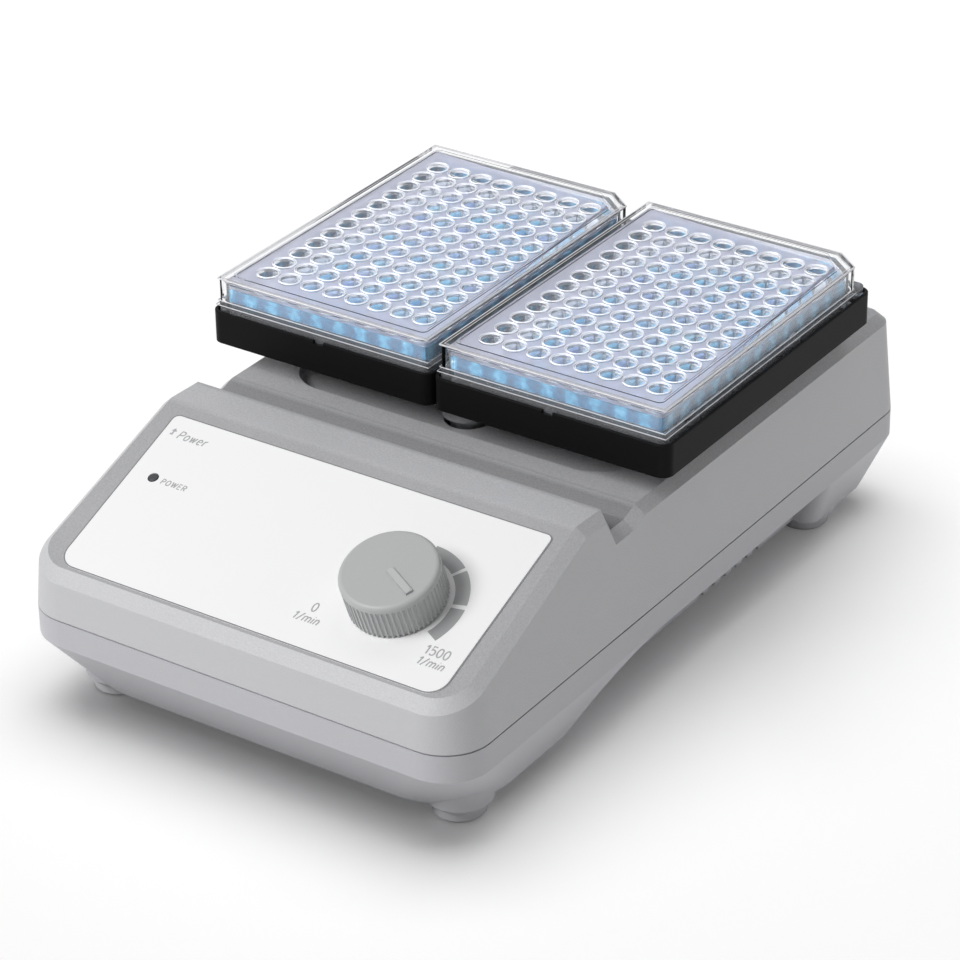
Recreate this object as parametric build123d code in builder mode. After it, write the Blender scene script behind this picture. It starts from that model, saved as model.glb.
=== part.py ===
from build123d import *

import os
from math import atan2, cos, degrees, hypot, radians, sin, tan

os.makedirs("parts", exist_ok=True)

# Orbital shaker for two lidded 96-well plates. Millimetres.
# +X is right seen from the control panel, +Y is the back, +Z is up.
# The origin is on the table, under the middle of the base.

# Base housing
base_width = 170.0
base_depth = 272.0
wall = 2.5
seam_height = 36.5
band_bottom = 26.5
tub_bottom = 7.5
deck_height = 72.6
wall_draft = 5.0
front_corner = 16.0
rear_corner = 10.0
rim_bevel = 3.2
seam_gap = 0.6

# Side profile of the upper shell, measured back from the front face
panel_slope = 21.0
panel_front_height = 51.7
ridge_start = 74.0
ridge_length = 14.0
ridge_drop = 0.5
ridge_round = 4.0
groove_start = 92.3
groove_length = 7.7
groove_height = 70.4
groove_round = 1.5
deck_start = 107.0
deck_round = 2.0

# Lower tub and its foot pods
tub_half_width = 70.0
pod_half_width = 77.6
pod_front_inset = 12.2
pod_rear_inset = 8.0
pod_front_corner = 25.0
pod_rear_corner = 9.0
pod_round = 5.0
front_pod_end = 68.0
rear_pod_start = 220.0
arch_length = 48.0
arch_bulge = 4.3
tub_floor = 2.5
rear_step = 4.0
vent_count = 6
vent_pitch = 7.2
vent_width = 3.6
vent_height = 16.0
vent_bottom = 6.9
vent_reach = 181.0

# Rubber feet
foot_x = 66.5
front_foot_inset = 26.0
rear_foot_inset = 34.0
foot_radius = 8.5
foot_height = 4.5
foot_edge = 1.0
foot_boss_radius = 11.0
foot_boss_edge = 1.5
foot_boss_top = 18.0
foot_post_radius = 5.0
foot_post_height = 22.0
foot_screw_radius = 1.5
foot_screw_head_radius = 2.8
foot_screw_head_height = 2.0
foot_screw_length = 14.0
foot_recess_depth = 2.5

# Screws that join the two shells
shell_screw_x = 62.0
shell_front_inset = 80.0
shell_rear_inset = 60.0
shell_boss_radius = 4.5
shell_screw_radius = 1.75
shell_screw_head_radius = 3.2
shell_screw_head_height = 2.2
shell_screw_grip = 10.0
shell_screw_length = 22.0

# Orbit drive
tray_rear_reach = 97.2
orbit_radius = 1.5
chassis_width = 112.0
chassis_clearance = 1.7
chassis_thickness = 3.0
chassis_height = 44.0
chassis_corner = 5.0
chassis_boss_x = 50.0
chassis_boss_inset = 8.0
chassis_boss_radius = 5.0
chassis_screw_radius = 1.75
chassis_screw_head_radius = 3.2
chassis_screw_head_height = 2.2
chassis_screw_length = 10.0

motor_radius = 32.0
motor_height = 30.0
motor_shell = 2.0
motor_collar_radius = 11.0
motor_collar_height = 2.4
motor_shaft_radius = 3.0
motor_shaft_reach = 14.0
stator_bore = 21.0
stator_height = 16.0
stator_gap = 0.1
winding_inner_radius = 23.0
winding_outer_radius = 28.0
winding_height = 2.5
stator_slots = 8
stator_slot_width = 4.0
stator_slot_depth = 5.0
rotor_radius = 20.5
rotor_height = 14.0
motor_bearing_radius = 8.0
motor_bearing_width = 5.0
motor_seat_wall = 2.5
motor_shaft_hole = 4.5
motor_screw_circle = 24.0
motor_screw_radius = 1.5
motor_screw_head_radius = 2.8
motor_screw_head_height = 1.8
motor_screw_length = 6.0

crank_hub_radius = 9.0
crank_hub_lift = 1.2
crank_hub_height = 14.8
crank_journal_radius = 5.0
crank_shoulder_radius = 6.5
crank_shoulder_height = 3.0
counterweight_radius = 24.0
counterweight_thickness = 8.0
counterweight_clamp_radius = 13.0
counterweight_drop = 2.2
counterweight_edge = 2.0
set_screw_radius = 1.5
set_screw_gap = 0.2

bearing_outer_radius = 13.0
bearing_width = 8.0
bearing_race = 2.6
bearing_groove = 0.5
bearing_ball_count = 8
bearing_ball_clearance = 0.05
journal_screw_radius = 1.5
journal_screw_head_radius = 6.2
journal_screw_head_height = 1.2
journal_screw_length = 7.0
journal_gap = 0.2

platform_length = 108.0
platform_thickness = 5.0
platform_corner = 8.0
platform_height = 77.7
hub_radius = 17.0
hub_skirt = 0.4
hub_relief_radius = 11.0
hub_relief_height = 3.0

# Idler cranks that keep the platform square, placed from the drive's axis
idler_side_x = 44.0
idler_side_inset = 14.0
idler_front_inset = 8.0
idler_pin_radius = 3.0
idler_column_radius = 6.0
idler_column_gap = 0.6
idler_column_height = 23.0
idler_lower_pin = 8.0
idler_upper_pin = 6.5
bush_wall = 2.0
bush_flange_radius = 7.0
bush_flange_thickness = 1.0
bush_length = 8.0
platform_bush_length = 7.0
platform_boss_drop = 5.4
platform_boss_radius = 7.5
running_clearance = 0.06

# Drive well in the deck
well_half_width = 65.0
well_front_margin = 13.3
well_back_margin = 19.2
well_corner = 15.0
well_depth = 3.0
orbit_clearance = 2.0

# Sample trays
plate_length = 127.76
plate_width = 85.48
plate_height = 14.35
tray_clearance = 0.3
tray_wall = 1.2
tray_gap = 0.4
tray_height = 11.5
tray_floor = 2.5
tray_ledge_height = 6.8
tray_ledge_width = 3.0
tray_corner = 4.0
tray_rib_count = 5
tray_rib_width = 1.6
tray_rib_height = 2.0
tray_screw_x = 30.0
tray_screw_y = 32.0
tray_screw_radius = 2.0
tray_screw_head_radius = 3.6
tray_screw_head_height = 2.2
tray_screw_grip = 4.5
tray_rim_round = 0.4
tray_notch_width = 4.0
tray_notch_depth = 1.2

# Well plates and lids
well_pitch = 9.0
well_rows = 12
well_columns = 8
well_radius = 3.43
well_tube_radius = 4.05
well_depth_inside = 10.9
well_floor = 1.0
well_rim_height = 0.4
plate_deck_thickness = 1.0
plate_wall = 1.1
plate_flange_height = 6.6
plate_flange_radius = 3.0
plate_body_inset = 2.1
liquid_depth = 5.6
liquid_clearance = 0.03
lid_inset = 0.55
lid_top_height = 16.0
lid_skirt = 8.3
lid_wall = 1.0
lid_top_thickness = 1.2
lid_corner_x = 9.0
lid_corner_y = 7.0
lid_round = 2.0
lid_rib_height = 0.3
lid_rib_inset = 3.4
lid_rib_width = 0.8
lid_tab_width = 3.0
lid_tab_inset = 14.0

# Speed control
knob_x = 41.3
knob_radius = 16.0
knob_height = 13.0
knob_gap = 0.9
knob_edge = 1.6
knob_flutes = 60
knob_flute_radius = 0.55
knob_flute_margin = 2.2
knob_hollow_radius = 12.5
knob_hollow_depth = 6.0
knob_hub_radius = 6.0
knob_hub_start = 2.4
pointer_angle = -27.0
pointer_start = 0.5
pointer_length = 12.4
pointer_width = 2.4
pointer_rise = 0.8
pot_shaft_radius = 3.0
pot_shaft_rise = 11.5
pot_radius = 8.5
pot_gap = 0.5
pot_cavity_radius = 7.0
pot_cavity_depth = 6.0
pot_cavity_height = 6.0
pot_wiper_radius = 6.4
pot_wiper_thickness = 1.5
pot_bush_radius = 4.5
pot_bush_rise = 3.2
pot_nut_radius = 6.6
pot_nut_height = 2.0
board_depth = 14.4
board_width = 132.0
board_length = 46.0
board_thickness = 1.6
board_boss_x = 59.0
board_boss_reach = 18.0
board_boss_radius = 3.0
board_screw_radius = 1.25
board_screw_head_radius = 2.4
board_screw_head_height = 1.5
board_screw_length = 7.0
capacitor_radius = 4.0
capacitor_height = 9.0
capacitor_pitch = 11.0
capacitor_x = -9.0
capacitor_reach = 8.0
heat_sink_x = -40.0
heat_sink_width = 20.0
heat_sink_length = 24.0
heat_sink_base = 2.0
heat_sink_height = 9.0
heat_sink_fins = 6
heat_sink_fin = 1.2

# Fits
hole_clearance = 0.2
thread_clearance = 0.03
boss_root = 0.6
hole_depth_spare = 1.0

# Panel overlay and lamp
label_left = -72.0
label_right = 74.0
label_front = -28.5
label_back = 39.3
label_thickness = 0.3
label_back_round = 2.5
label_front_round = 6.5
lamp_x = -62.7
lamp_reach = 13.1
lamp_radius = 1.7
lamp_rise = 0.6

# Power entry at the back, seen from behind
entry_x = -36.0
entry_height = 53.0
entry_width = 70.0
entry_tall = 25.0
entry_flange = 2.2
entry_corner = 2.0
entry_body_width = 58.0
entry_body_tall = 22.0
entry_body_depth = 22.0
entry_recess_depth = 4.0
entry_recess_margin = 0.5
entry_pad_thickness = 3.0
socket_x = -16.0
socket_width = 24.2
socket_tall = 16.8
socket_depth = 16.0
socket_chamfer = 4.5
pin_tall = 4.0
pin_thickness = 2.0
pin_length = 12.0
pin_tail = 3.0
pin_spacing = 7.0
pin_drop = 2.0
pin_rise = 2.0
fuse_x = 1.6
fuse_width = 8.4
fuse_tall = 16.4
fuse_depth = 18.0
fuse_clearance = 0.15
fuse_lip = 1.2
fuse_lip_border = 0.7
fuse_radius = 2.4
fuse_length = 14.0
fuse_spacing = 7.0
switch_x = 16.5
switch_width = 15.0
switch_tall = 21.0
switch_depth = 17.0
switch_bezel_rise = 1.4
switch_bezel_wall = 0.9
rocker_width = 11.4
rocker_tall = 15.2
rocker_gap = 0.8
rocker_side_gap = 0.25
rocker_pivot_depth = 2.0
rocker_rise = 2.6
rocker_valley = 1.6
rocker_tail = 4.0
rocker_tail_half = 3.0
rocker_room = 9.0
rocker_tilt = 8.0
rocker_pin_radius = 1.2
rocker_pin_reach = 1.0
entry_screw_x = 32.0
entry_screw_radius = 1.25
entry_screw_head_radius = 2.2
entry_screw_head_height = 1.2
entry_screw_length = 5.0

# Mains transformer
transformer_x = -24.0
transformer_reach = 64.0
transformer_width = 46.0
transformer_stack = 22.0
transformer_height = 28.5
transformer_window = 9.0
transformer_leg = 14.0
transformer_yoke = 7.0
winding_clearance = 0.3
winding_bulge = 8.4
winding_round = 3.0
bracket_width = 62.0
bracket_thickness = 1.5
bracket_screw_x = 27.0
bracket_screw_length = 3.6

front_y = -base_depth / 2
back_y = base_depth / 2
ridge_y = front_y + ridge_start
groove_y = front_y + groove_start
deck_y = front_y + deck_start
slope = radians(panel_slope)


def panel_height_at(y):
    """Height of the sloping panel at a place along the depth."""
    return panel_front_height + (y - front_y) * tan(slope)


panel_y = front_y + 32.0
panel_plane = Plane(
    origin=(0, panel_y, panel_height_at(panel_y)), x_dir=(1, 0, 0), z_dir=(0, -sin(slope), cos(slope))
)
ridge_height = panel_height_at(ridge_y)
tub_inner_half = tub_half_width - wall
front_foot_y = front_y + front_foot_inset
rear_foot_y = back_y - rear_foot_inset
tray_y = back_y - tray_rear_reach
drive_y = tray_y + orbit_radius
entry_face = back_y - entry_recess_depth
chassis_length = 2 * (entry_face - entry_body_depth - chassis_clearance - drive_y)
chassis_boss_reach = chassis_length / 2 - chassis_boss_inset
idler_front_y = idler_front_inset - platform_length / 2
idler_side_y = platform_length / 2 - idler_side_inset
well_front_y = tray_y + idler_front_y - well_front_margin
well_back_y = tray_y + idler_side_y + well_back_margin
transformer_y = front_y + transformer_reach
vent_centre_y = front_y + vent_reach
foot_spots = [(x, y) for y in (front_foot_y, rear_foot_y) for x in (-foot_x, foot_x)]
chassis_top = chassis_height + chassis_thickness
well_floor_top = deck_height - well_depth
well_floor_bottom = well_floor_top - wall
platform_top = platform_height + platform_thickness
shell_screw_spots = [
    (x, y)
    for y in (front_y + shell_front_inset, back_y - shell_rear_inset)
    for x in (-shell_screw_x, shell_screw_x)
]
chassis_spots = [
    (x, drive_y + y)
    for y in (-chassis_boss_reach, chassis_boss_reach)
    for x in (-chassis_boss_x, chassis_boss_x)
]
idler_spots = [
    (0.0, drive_y + idler_front_y),
    (-idler_side_x, drive_y + idler_side_y),
    (idler_side_x, drive_y + idler_side_y),
]
pin_spots = [(x, y - orbit_radius) for x, y in idler_spots]
board_spots = [(x, y) for y in (-board_boss_reach, board_boss_reach) for x in (-board_boss_x, board_boss_x)]
board_under = board_depth + board_thickness
motor_bottom = chassis_height - motor_height
motor_middle = chassis_height - motor_height / 2
hub_base = chassis_top + crank_hub_lift
hub_top = hub_base + crank_hub_height
bearing_base = hub_top + crank_shoulder_height
bearing_top = bearing_base + bearing_width
column_base = chassis_top + bush_flange_thickness + idler_column_gap
column_top = column_base + idler_column_height
tray_width = plate_width + 2 * (tray_clearance + tray_wall)
tray_length = plate_length + 2 * (tray_clearance + tray_wall)
tray_x = (tray_width + tray_gap) / 2
tray_spots = [-tray_x, tray_x]
platform_width = 2 * (tray_x + tray_screw_x + tray_screw_head_radius)
plate_base = platform_top + tray_ledge_height
plate_top = plate_base + plate_height
plate_deck = plate_top - well_rim_height
flange_top = plate_base + plate_flange_height
well_bottom = plate_top - well_depth_inside
lid_top = plate_base + lid_top_height
shell_screw_seat = seam_height + shell_screw_grip - shell_screw_length
bush_radius = idler_pin_radius + running_clearance + bush_wall
weight_middle = hub_base + crank_hub_height / 2 - counterweight_drop
ball_circle = (crank_journal_radius + bearing_outer_radius) / 2
ball_radius = ball_circle - crank_journal_radius - bearing_race + bearing_groove
tray_screw_spots = [
    (tray + x, tray_y + y)
    for tray in tray_spots
    for x in (-tray_screw_x, tray_screw_x)
    for y in (-tray_screw_y, tray_screw_y)
]
bracket_top = tub_bottom + tub_floor + bracket_thickness
fuse_end = (fuse_depth - fuse_length) / 2
pin_places = [(socket_x - pin_spacing, -pin_drop), (socket_x, pin_rise), (socket_x + pin_spacing, -pin_drop)]
rocker_plane = Plane(
    origin=(entry_x - switch_x, entry_face + entry_flange - rocker_pivot_depth, entry_height),
    x_dir=(0, 0, 1),
    z_dir=(-1, 0, 0),
)


def on_panel(x, reach, depth=0.0):
    """A plane square to the panel, at a place on it and a depth under its surface."""
    centre = panel_plane.from_local_coords(Vector(x, reach, -depth))
    return Plane(origin=centre, x_dir=panel_plane.x_dir, z_dir=panel_plane.z_dir)


def rounded_plan(half_width, front, rear, front_round, rear_round):
    """A rectangle in plan whose front and rear corners have their own radii."""
    with BuildSketch() as outline:
        with Locations((0, (front + rear) / 2)):
            Rectangle(2 * half_width, rear - front)
        fillet(outline.vertices().group_by(Axis.Y)[0], front_round)
        fillet(outline.vertices().group_by(Axis.Y)[-1], rear_round)
    return outline.sketch


def plan_outline(inset=0.0):
    """The outline that the housing has at its seam."""
    half_width = base_width / 2 - inset
    front = front_y + inset
    rear = back_y - inset
    return rounded_plan(half_width, front, rear, front_corner - inset, rear_corner - inset)


def bottom_outline(inset=0.0):
    """The smaller outline that the housing has at the bottom of its tub."""
    front = front_y + pod_front_inset + inset
    rear = back_y - pod_rear_inset - inset
    corners = (pod_front_corner - inset, pod_rear_corner - inset)
    return rounded_plan(pod_half_width - inset, front, rear, *corners)


def underside_outline(rise=0.0):
    """The space beside the tub in side view, raised by a wall's thickness for the inside."""
    pod_end = front_y + front_pod_end - rise
    arch_end = front_y + front_pod_end + arch_length
    pod_start = front_y + rear_pod_start + rise
    low = tub_bottom + rise
    high = band_bottom + rise
    with BuildSketch() as outline:
        with BuildLine():
            Polyline(
                (arch_end, high),
                (pod_start, high),
                (pod_start + rear_step, low),
                (pod_start + rear_step, 0),
                (pod_end, 0),
                (pod_end, low),
            )
            middle = ((pod_end + arch_end) / 2, (low + high) / 2 + arch_bulge)
            ThreePointArc((pod_end, low), middle, (arch_end, high))
        make_face()
    return outline.sketch


def is_pod_edge(edge):
    """Whether an edge is the upright corner at the front of a rear pod."""
    centre = edge.center()
    off = centre.Y - front_y - rear_pod_start - rear_step / 2
    return abs(centre.X) > tub_half_width + 1 and abs(off) < 1 and centre.Z < band_bottom - 1


def profile_outline(drop=0.0):
    """The upper shell's side profile, lowered by a wall's thickness for the inside."""
    run = drop * tan(slope / 2)
    lean = drop * 0.35
    floor = seam_height - 12.0
    with BuildSketch() as outline:
        with BuildLine():
            Polyline(
                (front_y, floor),
                (front_y, panel_front_height - drop / cos(slope)),
                (ridge_y + run, ridge_height - drop),
                (ridge_y + ridge_length - lean, ridge_height - ridge_drop - drop),
                (groove_y - drop + lean, groove_height - drop),
                (groove_y + groove_length + lean, groove_height - drop),
                (deck_y + lean, deck_height - drop),
                (back_y, deck_height - drop),
                (back_y, floor),
                close=True,
            )
        make_face()
    return outline.sketch


def is_wall(face):
    """Whether a face of the raw upper shell is one of its outer walls."""
    normal = face.normal_at()
    return face.geom_type != GeomType.PLANE or abs(normal.X) > 0.5 or abs(normal.Y) > 0.98


def level_edges(part, y, z):
    """The edges along the width that lie at a place in the side profile."""
    return [
        edge
        for edge in part.edges().filter_by(Axis.X)
        if hypot(edge.center().Y - y, edge.center().Z - z) < 0.05
    ]


# Upper housing
with BuildPart() as upper_form:
    with BuildSketch(Plane.XY.offset(seam_height)):
        add(plan_outline())
    extrude(amount=ridge_height, taper=wall_draft)
    with BuildSketch(Plane.YZ):
        add(profile_outline())
    extrude(amount=base_width, both=True, mode=Mode.INTERSECT)
    walls = [face for face in upper_form.faces() if is_wall(face)]
    tops = [face for face in upper_form.faces() if not is_wall(face) and face.normal_at().Z > 0]
    wall_edges = [edge for face in walls for edge in face.edges()]
    rim = [edge for face in tops for edge in face.edges() if any(edge.is_same(side) for side in wall_edges)]
    chamfer(rim, rim_bevel)
    fillet(level_edges(upper_form, ridge_y, ridge_height), ridge_round)
    fillet(level_edges(upper_form, groove_y, groove_height), groove_round)
    fillet(level_edges(upper_form, groove_y + groove_length, groove_height), groove_round)
    fillet(level_edges(upper_form, deck_y, deck_height), deck_round)

# Its inside, which leaves a thick pad behind the power entry
entry_plane = Plane(origin=(entry_x, entry_face, entry_height), x_dir=(-1, 0, 0), z_dir=(0, 1, 0))
with BuildPart() as upper_hollow:
    with BuildSketch(Plane.XY.offset(seam_height)):
        add(plan_outline(wall))
    extrude(amount=ridge_height, taper=wall_draft)
    with BuildSketch(Plane.YZ):
        add(profile_outline(wall))
    extrude(amount=base_width, both=True, mode=Mode.INTERSECT)
    with BuildSketch(entry_plane.offset(-entry_pad_thickness)):
        Rectangle(entry_width + 2 * entry_pad_thickness, entry_tall + wall)
    extrude(amount=2 * entry_recess_depth, mode=Mode.SUBTRACT)

with BuildPart() as upper_housing:
    add(upper_form.part)
    add(upper_hollow.part, mode=Mode.SUBTRACT)
    well_length = well_back_y - well_front_y
    well_y = (well_back_y + well_front_y) / 2
    with BuildSketch(Plane.XY.offset(well_floor_bottom)):
        with Locations((0, well_y)):
            RectangleRounded(2 * (well_half_width + wall), well_length + 2 * wall, well_corner + wall)
    extrude(amount=deck_height - wall / 2 - well_floor_bottom)
    with BuildSketch(Plane.XY.offset(well_floor_top)):
        with Locations((0, well_y)):
            RectangleRounded(2 * well_half_width, well_length, well_corner)
    extrude(amount=2 * well_depth, mode=Mode.SUBTRACT)
    with BuildSketch(Plane.XY.offset(well_floor_bottom)):
        with Locations((0, drive_y)):
            Circle(hub_radius + orbit_radius + orbit_clearance)
        with Locations(*idler_spots):
            Circle(idler_column_radius + orbit_clearance)
    extrude(amount=2 * wall, mode=Mode.SUBTRACT)
    with BuildSketch(Plane.XY.offset(seam_height)):
        with Locations(*shell_screw_spots[:2]):
            Circle(shell_boss_radius)
    extrude(amount=ridge_height - wall - seam_height)
    with BuildSketch(Plane.XY.offset(seam_height)):
        with Locations(*shell_screw_spots[2:]):
            Circle(shell_boss_radius)
    extrude(amount=well_floor_bottom + boss_root - seam_height)
    with BuildSketch(Plane.XY.offset(seam_height)):
        with Locations(*shell_screw_spots):
            Circle(shell_screw_radius + thread_clearance)
    extrude(amount=shell_screw_grip + hole_depth_spare, mode=Mode.SUBTRACT)
    with BuildSketch(on_panel(0, 0, board_depth)):
        with Locations(*board_spots):
            Circle(board_boss_radius)
    extrude(amount=board_depth - wall + boss_root)
    with BuildSketch(on_panel(0, 0, board_depth)):
        with Locations(*board_spots):
            Circle(board_screw_radius + thread_clearance)
    extrude(amount=board_screw_length, mode=Mode.SUBTRACT)
    with BuildSketch(on_panel(0, 0, 2 * wall)):
        with Locations((knob_x, 0)):
            Circle(pot_bush_radius + hole_clearance)
        with Locations((lamp_x, lamp_reach)):
            Circle(lamp_radius + hole_clearance)
    extrude(amount=3 * wall, mode=Mode.SUBTRACT)
    with BuildSketch(entry_plane):
        recess_width = entry_width + 2 * entry_recess_margin
        RectangleRounded(recess_width, entry_tall + 2 * entry_recess_margin, entry_corner)
    extrude(amount=2 * entry_recess_depth, mode=Mode.SUBTRACT)
    with BuildSketch(entry_plane):
        Rectangle(entry_body_width + 2 * hole_clearance, entry_body_tall + 2 * hole_clearance)
        with GridLocations(2 * entry_screw_x, 1, 2, 1):
            Circle(entry_screw_radius + thread_clearance)
    extrude(amount=-2 * entry_pad_thickness, mode=Mode.SUBTRACT)
upper_housing.part.label = "upper_housing"
export_step(upper_housing.part, "parts/upper_housing.step")

# Lower housing: a band under the seam, a tub inside it and pods over the feet
with BuildPart() as lower_hollow:
    with BuildSketch(Plane.XY.offset(band_bottom)):
        add(plan_outline(wall))
    with BuildSketch(Plane.XY.offset(tub_bottom + tub_floor)):
        add(bottom_outline(wall))
    loft()
    with BuildSketch(Plane.XY.offset(band_bottom)):
        add(plan_outline(wall))
    extrude(amount=2 * (seam_height - band_bottom))
    for side in (-1, 1):
        with BuildSketch(Plane.YZ.offset(side * tub_inner_half)):
            add(underside_outline(wall))
        extrude(amount=side * base_width, mode=Mode.SUBTRACT)

with BuildPart() as lower_housing:
    with BuildSketch(Plane.XY.offset(band_bottom)):
        add(plan_outline())
    with BuildSketch(Plane.XY.offset(tub_bottom)):
        add(bottom_outline())
    loft()
    with BuildSketch(Plane.XY.offset(band_bottom)):
        add(plan_outline())
    extrude(amount=seam_height - band_bottom)
    for side in (-1, 1):
        with BuildSketch(Plane.YZ.offset(side * tub_half_width)):
            add(underside_outline())
        extrude(amount=side * base_width, mode=Mode.SUBTRACT)
    pod_edges = [edge for edge in lower_housing.edges() if is_pod_edge(edge)]
    fillet(pod_edges, pod_round)
    with BuildSketch(Plane.XY.offset(foot_height)):
        with Locations(*foot_spots):
            Circle(foot_boss_radius)
    extrude(amount=foot_boss_top - foot_height)
    boss_edges = lower_housing.edges().filter_by(GeomType.CIRCLE).group_by(Axis.Z)[0]
    chamfer(boss_edges, foot_boss_edge)
    add(lower_hollow.part, mode=Mode.SUBTRACT)
    with BuildSketch(Plane.XY.offset(foot_height)):
        with Locations(*foot_spots):
            Circle(foot_post_radius)
    extrude(amount=foot_post_height - foot_height)
    with BuildSketch(Plane.XY.offset(foot_height)):
        with Locations(*foot_spots):
            Circle(foot_screw_radius + thread_clearance)
    extrude(amount=foot_screw_length, mode=Mode.SUBTRACT)
    with BuildSketch(Plane.XY.offset(tub_bottom + tub_floor - boss_root)):
        with Locations(*shell_screw_spots):
            Circle(shell_boss_radius)
    extrude(amount=seam_height - tub_bottom - tub_floor + boss_root)
    with BuildSketch(Plane.XY.offset(shell_screw_seat)):
        with Locations(*shell_screw_spots):
            Circle(shell_screw_head_radius + hole_clearance)
    extrude(amount=-seam_height, mode=Mode.SUBTRACT)
    with BuildSketch(Plane.XY.offset(shell_screw_seat)):
        with Locations(*shell_screw_spots):
            Circle(shell_screw_radius + hole_clearance)
    extrude(amount=seam_height, mode=Mode.SUBTRACT)
    with BuildSketch(Plane.XY.offset(tub_bottom + tub_floor - boss_root)):
        with Locations(*chassis_spots):
            Circle(chassis_boss_radius)
    extrude(amount=chassis_height - tub_bottom - tub_floor + boss_root)
    with BuildSketch(Plane.XY.offset(chassis_height)):
        with Locations(*chassis_spots):
            Circle(chassis_screw_radius + thread_clearance)
    extrude(amount=-chassis_screw_length, mode=Mode.SUBTRACT)
    with BuildSketch(Plane.XY.offset(tub_bottom + tub_floor)):
        with Locations((transformer_x, transformer_y)):
            with GridLocations(2 * bracket_screw_x, 1, 2, 1):
                Circle(foot_screw_radius + thread_clearance)
    extrude(amount=bracket_thickness - bracket_screw_length, mode=Mode.SUBTRACT)
    for side in (-1, 1):
        with BuildSketch(Plane.YZ.offset(side * (tub_inner_half - hole_depth_spare))):
            with Locations((vent_centre_y, vent_bottom + vent_height / 2)):
                with GridLocations(vent_pitch, 1, vent_count, 1):
                    SlotOverall(vent_height, vent_width, rotation=90)
        extrude(amount=side * (wall + 2 * hole_depth_spare), mode=Mode.SUBTRACT)
    with BuildSketch(Plane.XY.offset(seam_height)):
        add(plan_outline())
        add(plan_outline(seam_gap), mode=Mode.SUBTRACT)
    extrude(amount=-seam_gap, mode=Mode.SUBTRACT)
lower_housing.part.label = "lower_housing"
export_step(lower_housing.part, "parts/lower_housing.step")

with BuildPart() as housing_screws:
    with BuildSketch(Plane.XY.offset(shell_screw_seat)):
        with Locations(*shell_screw_spots):
            Circle(shell_screw_head_radius)
            RegularPolygon(shell_screw_radius, 6, mode=Mode.SUBTRACT)
    extrude(amount=-shell_screw_head_height)
    with BuildSketch(Plane.XY.offset(shell_screw_seat - shell_screw_head_height / 2)):
        with Locations(*shell_screw_spots):
            Circle(shell_screw_radius)
    extrude(amount=shell_screw_length + shell_screw_head_height / 2)
housing_screws.part.label = "housing_screws"
export_step(housing_screws.part, "parts/housing_screws.step")

# Feet
with BuildPart() as rubber_feet:
    with BuildSketch():
        with Locations(*foot_spots):
            Circle(foot_radius)
            Circle(foot_screw_radius + hole_clearance, mode=Mode.SUBTRACT)
    extrude(amount=foot_height)
    bottom_edges = rubber_feet.edges().group_by(Axis.Z)[0]
    chamfer([edge for edge in bottom_edges if edge.radius > foot_screw_head_radius], foot_edge)
    with BuildSketch():
        with Locations(*foot_spots):
            Circle(foot_screw_head_radius + hole_clearance)
    extrude(amount=foot_recess_depth, mode=Mode.SUBTRACT)
rubber_feet.part.label = "rubber_feet"
export_step(rubber_feet.part, "parts/rubber_feet.step")

with BuildPart() as foot_screws:
    with BuildSketch(Plane.XY.offset(foot_recess_depth)):
        with Locations(*foot_spots):
            Circle(foot_screw_head_radius)
            RegularPolygon(foot_screw_radius, 6, mode=Mode.SUBTRACT)
    extrude(amount=-foot_screw_head_height)
    with BuildSketch(Plane.XY.offset(foot_recess_depth - foot_screw_head_height / 2)):
        with Locations(*foot_spots):
            Circle(foot_screw_radius)
    extrude(amount=foot_screw_length + foot_screw_head_height / 2)
foot_screws.part.label = "foot_screws"
export_step(foot_screws.part, "parts/foot_screws.step")

# Chassis plate that carries the drive
with BuildPart() as chassis_plate:
    with BuildSketch(Plane.XY.offset(chassis_height)):
        with Locations((0, drive_y)):
            RectangleRounded(chassis_width, chassis_length, chassis_corner)
            Circle(motor_collar_radius + hole_clearance, mode=Mode.SUBTRACT)
            with PolarLocations(motor_screw_circle, 4, start_angle=45):
                Circle(motor_screw_radius + hole_clearance, mode=Mode.SUBTRACT)
        with Locations(*idler_spots):
            Circle(bush_radius + thread_clearance, mode=Mode.SUBTRACT)
        with Locations(*chassis_spots):
            Circle(chassis_screw_radius + hole_clearance, mode=Mode.SUBTRACT)
    extrude(amount=chassis_thickness)
chassis_plate.part.label = "chassis_plate"
export_step(chassis_plate.part, "parts/chassis_plate.step")

with BuildPart() as chassis_screws:
    with BuildSketch(Plane.XY.offset(chassis_top)):
        with Locations(*chassis_spots):
            Circle(chassis_screw_head_radius)
            RegularPolygon(chassis_screw_radius, 6, mode=Mode.SUBTRACT)
    extrude(amount=chassis_screw_head_height)
    with BuildSketch(Plane.XY.offset(chassis_top + chassis_screw_head_height / 2)):
        with Locations(*chassis_spots):
            Circle(chassis_screw_radius)
    extrude(amount=-chassis_screw_length - chassis_screw_head_height / 2)
chassis_screws.part.label = "chassis_screws"
export_step(chassis_screws.part, "parts/chassis_screws.step")

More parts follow.
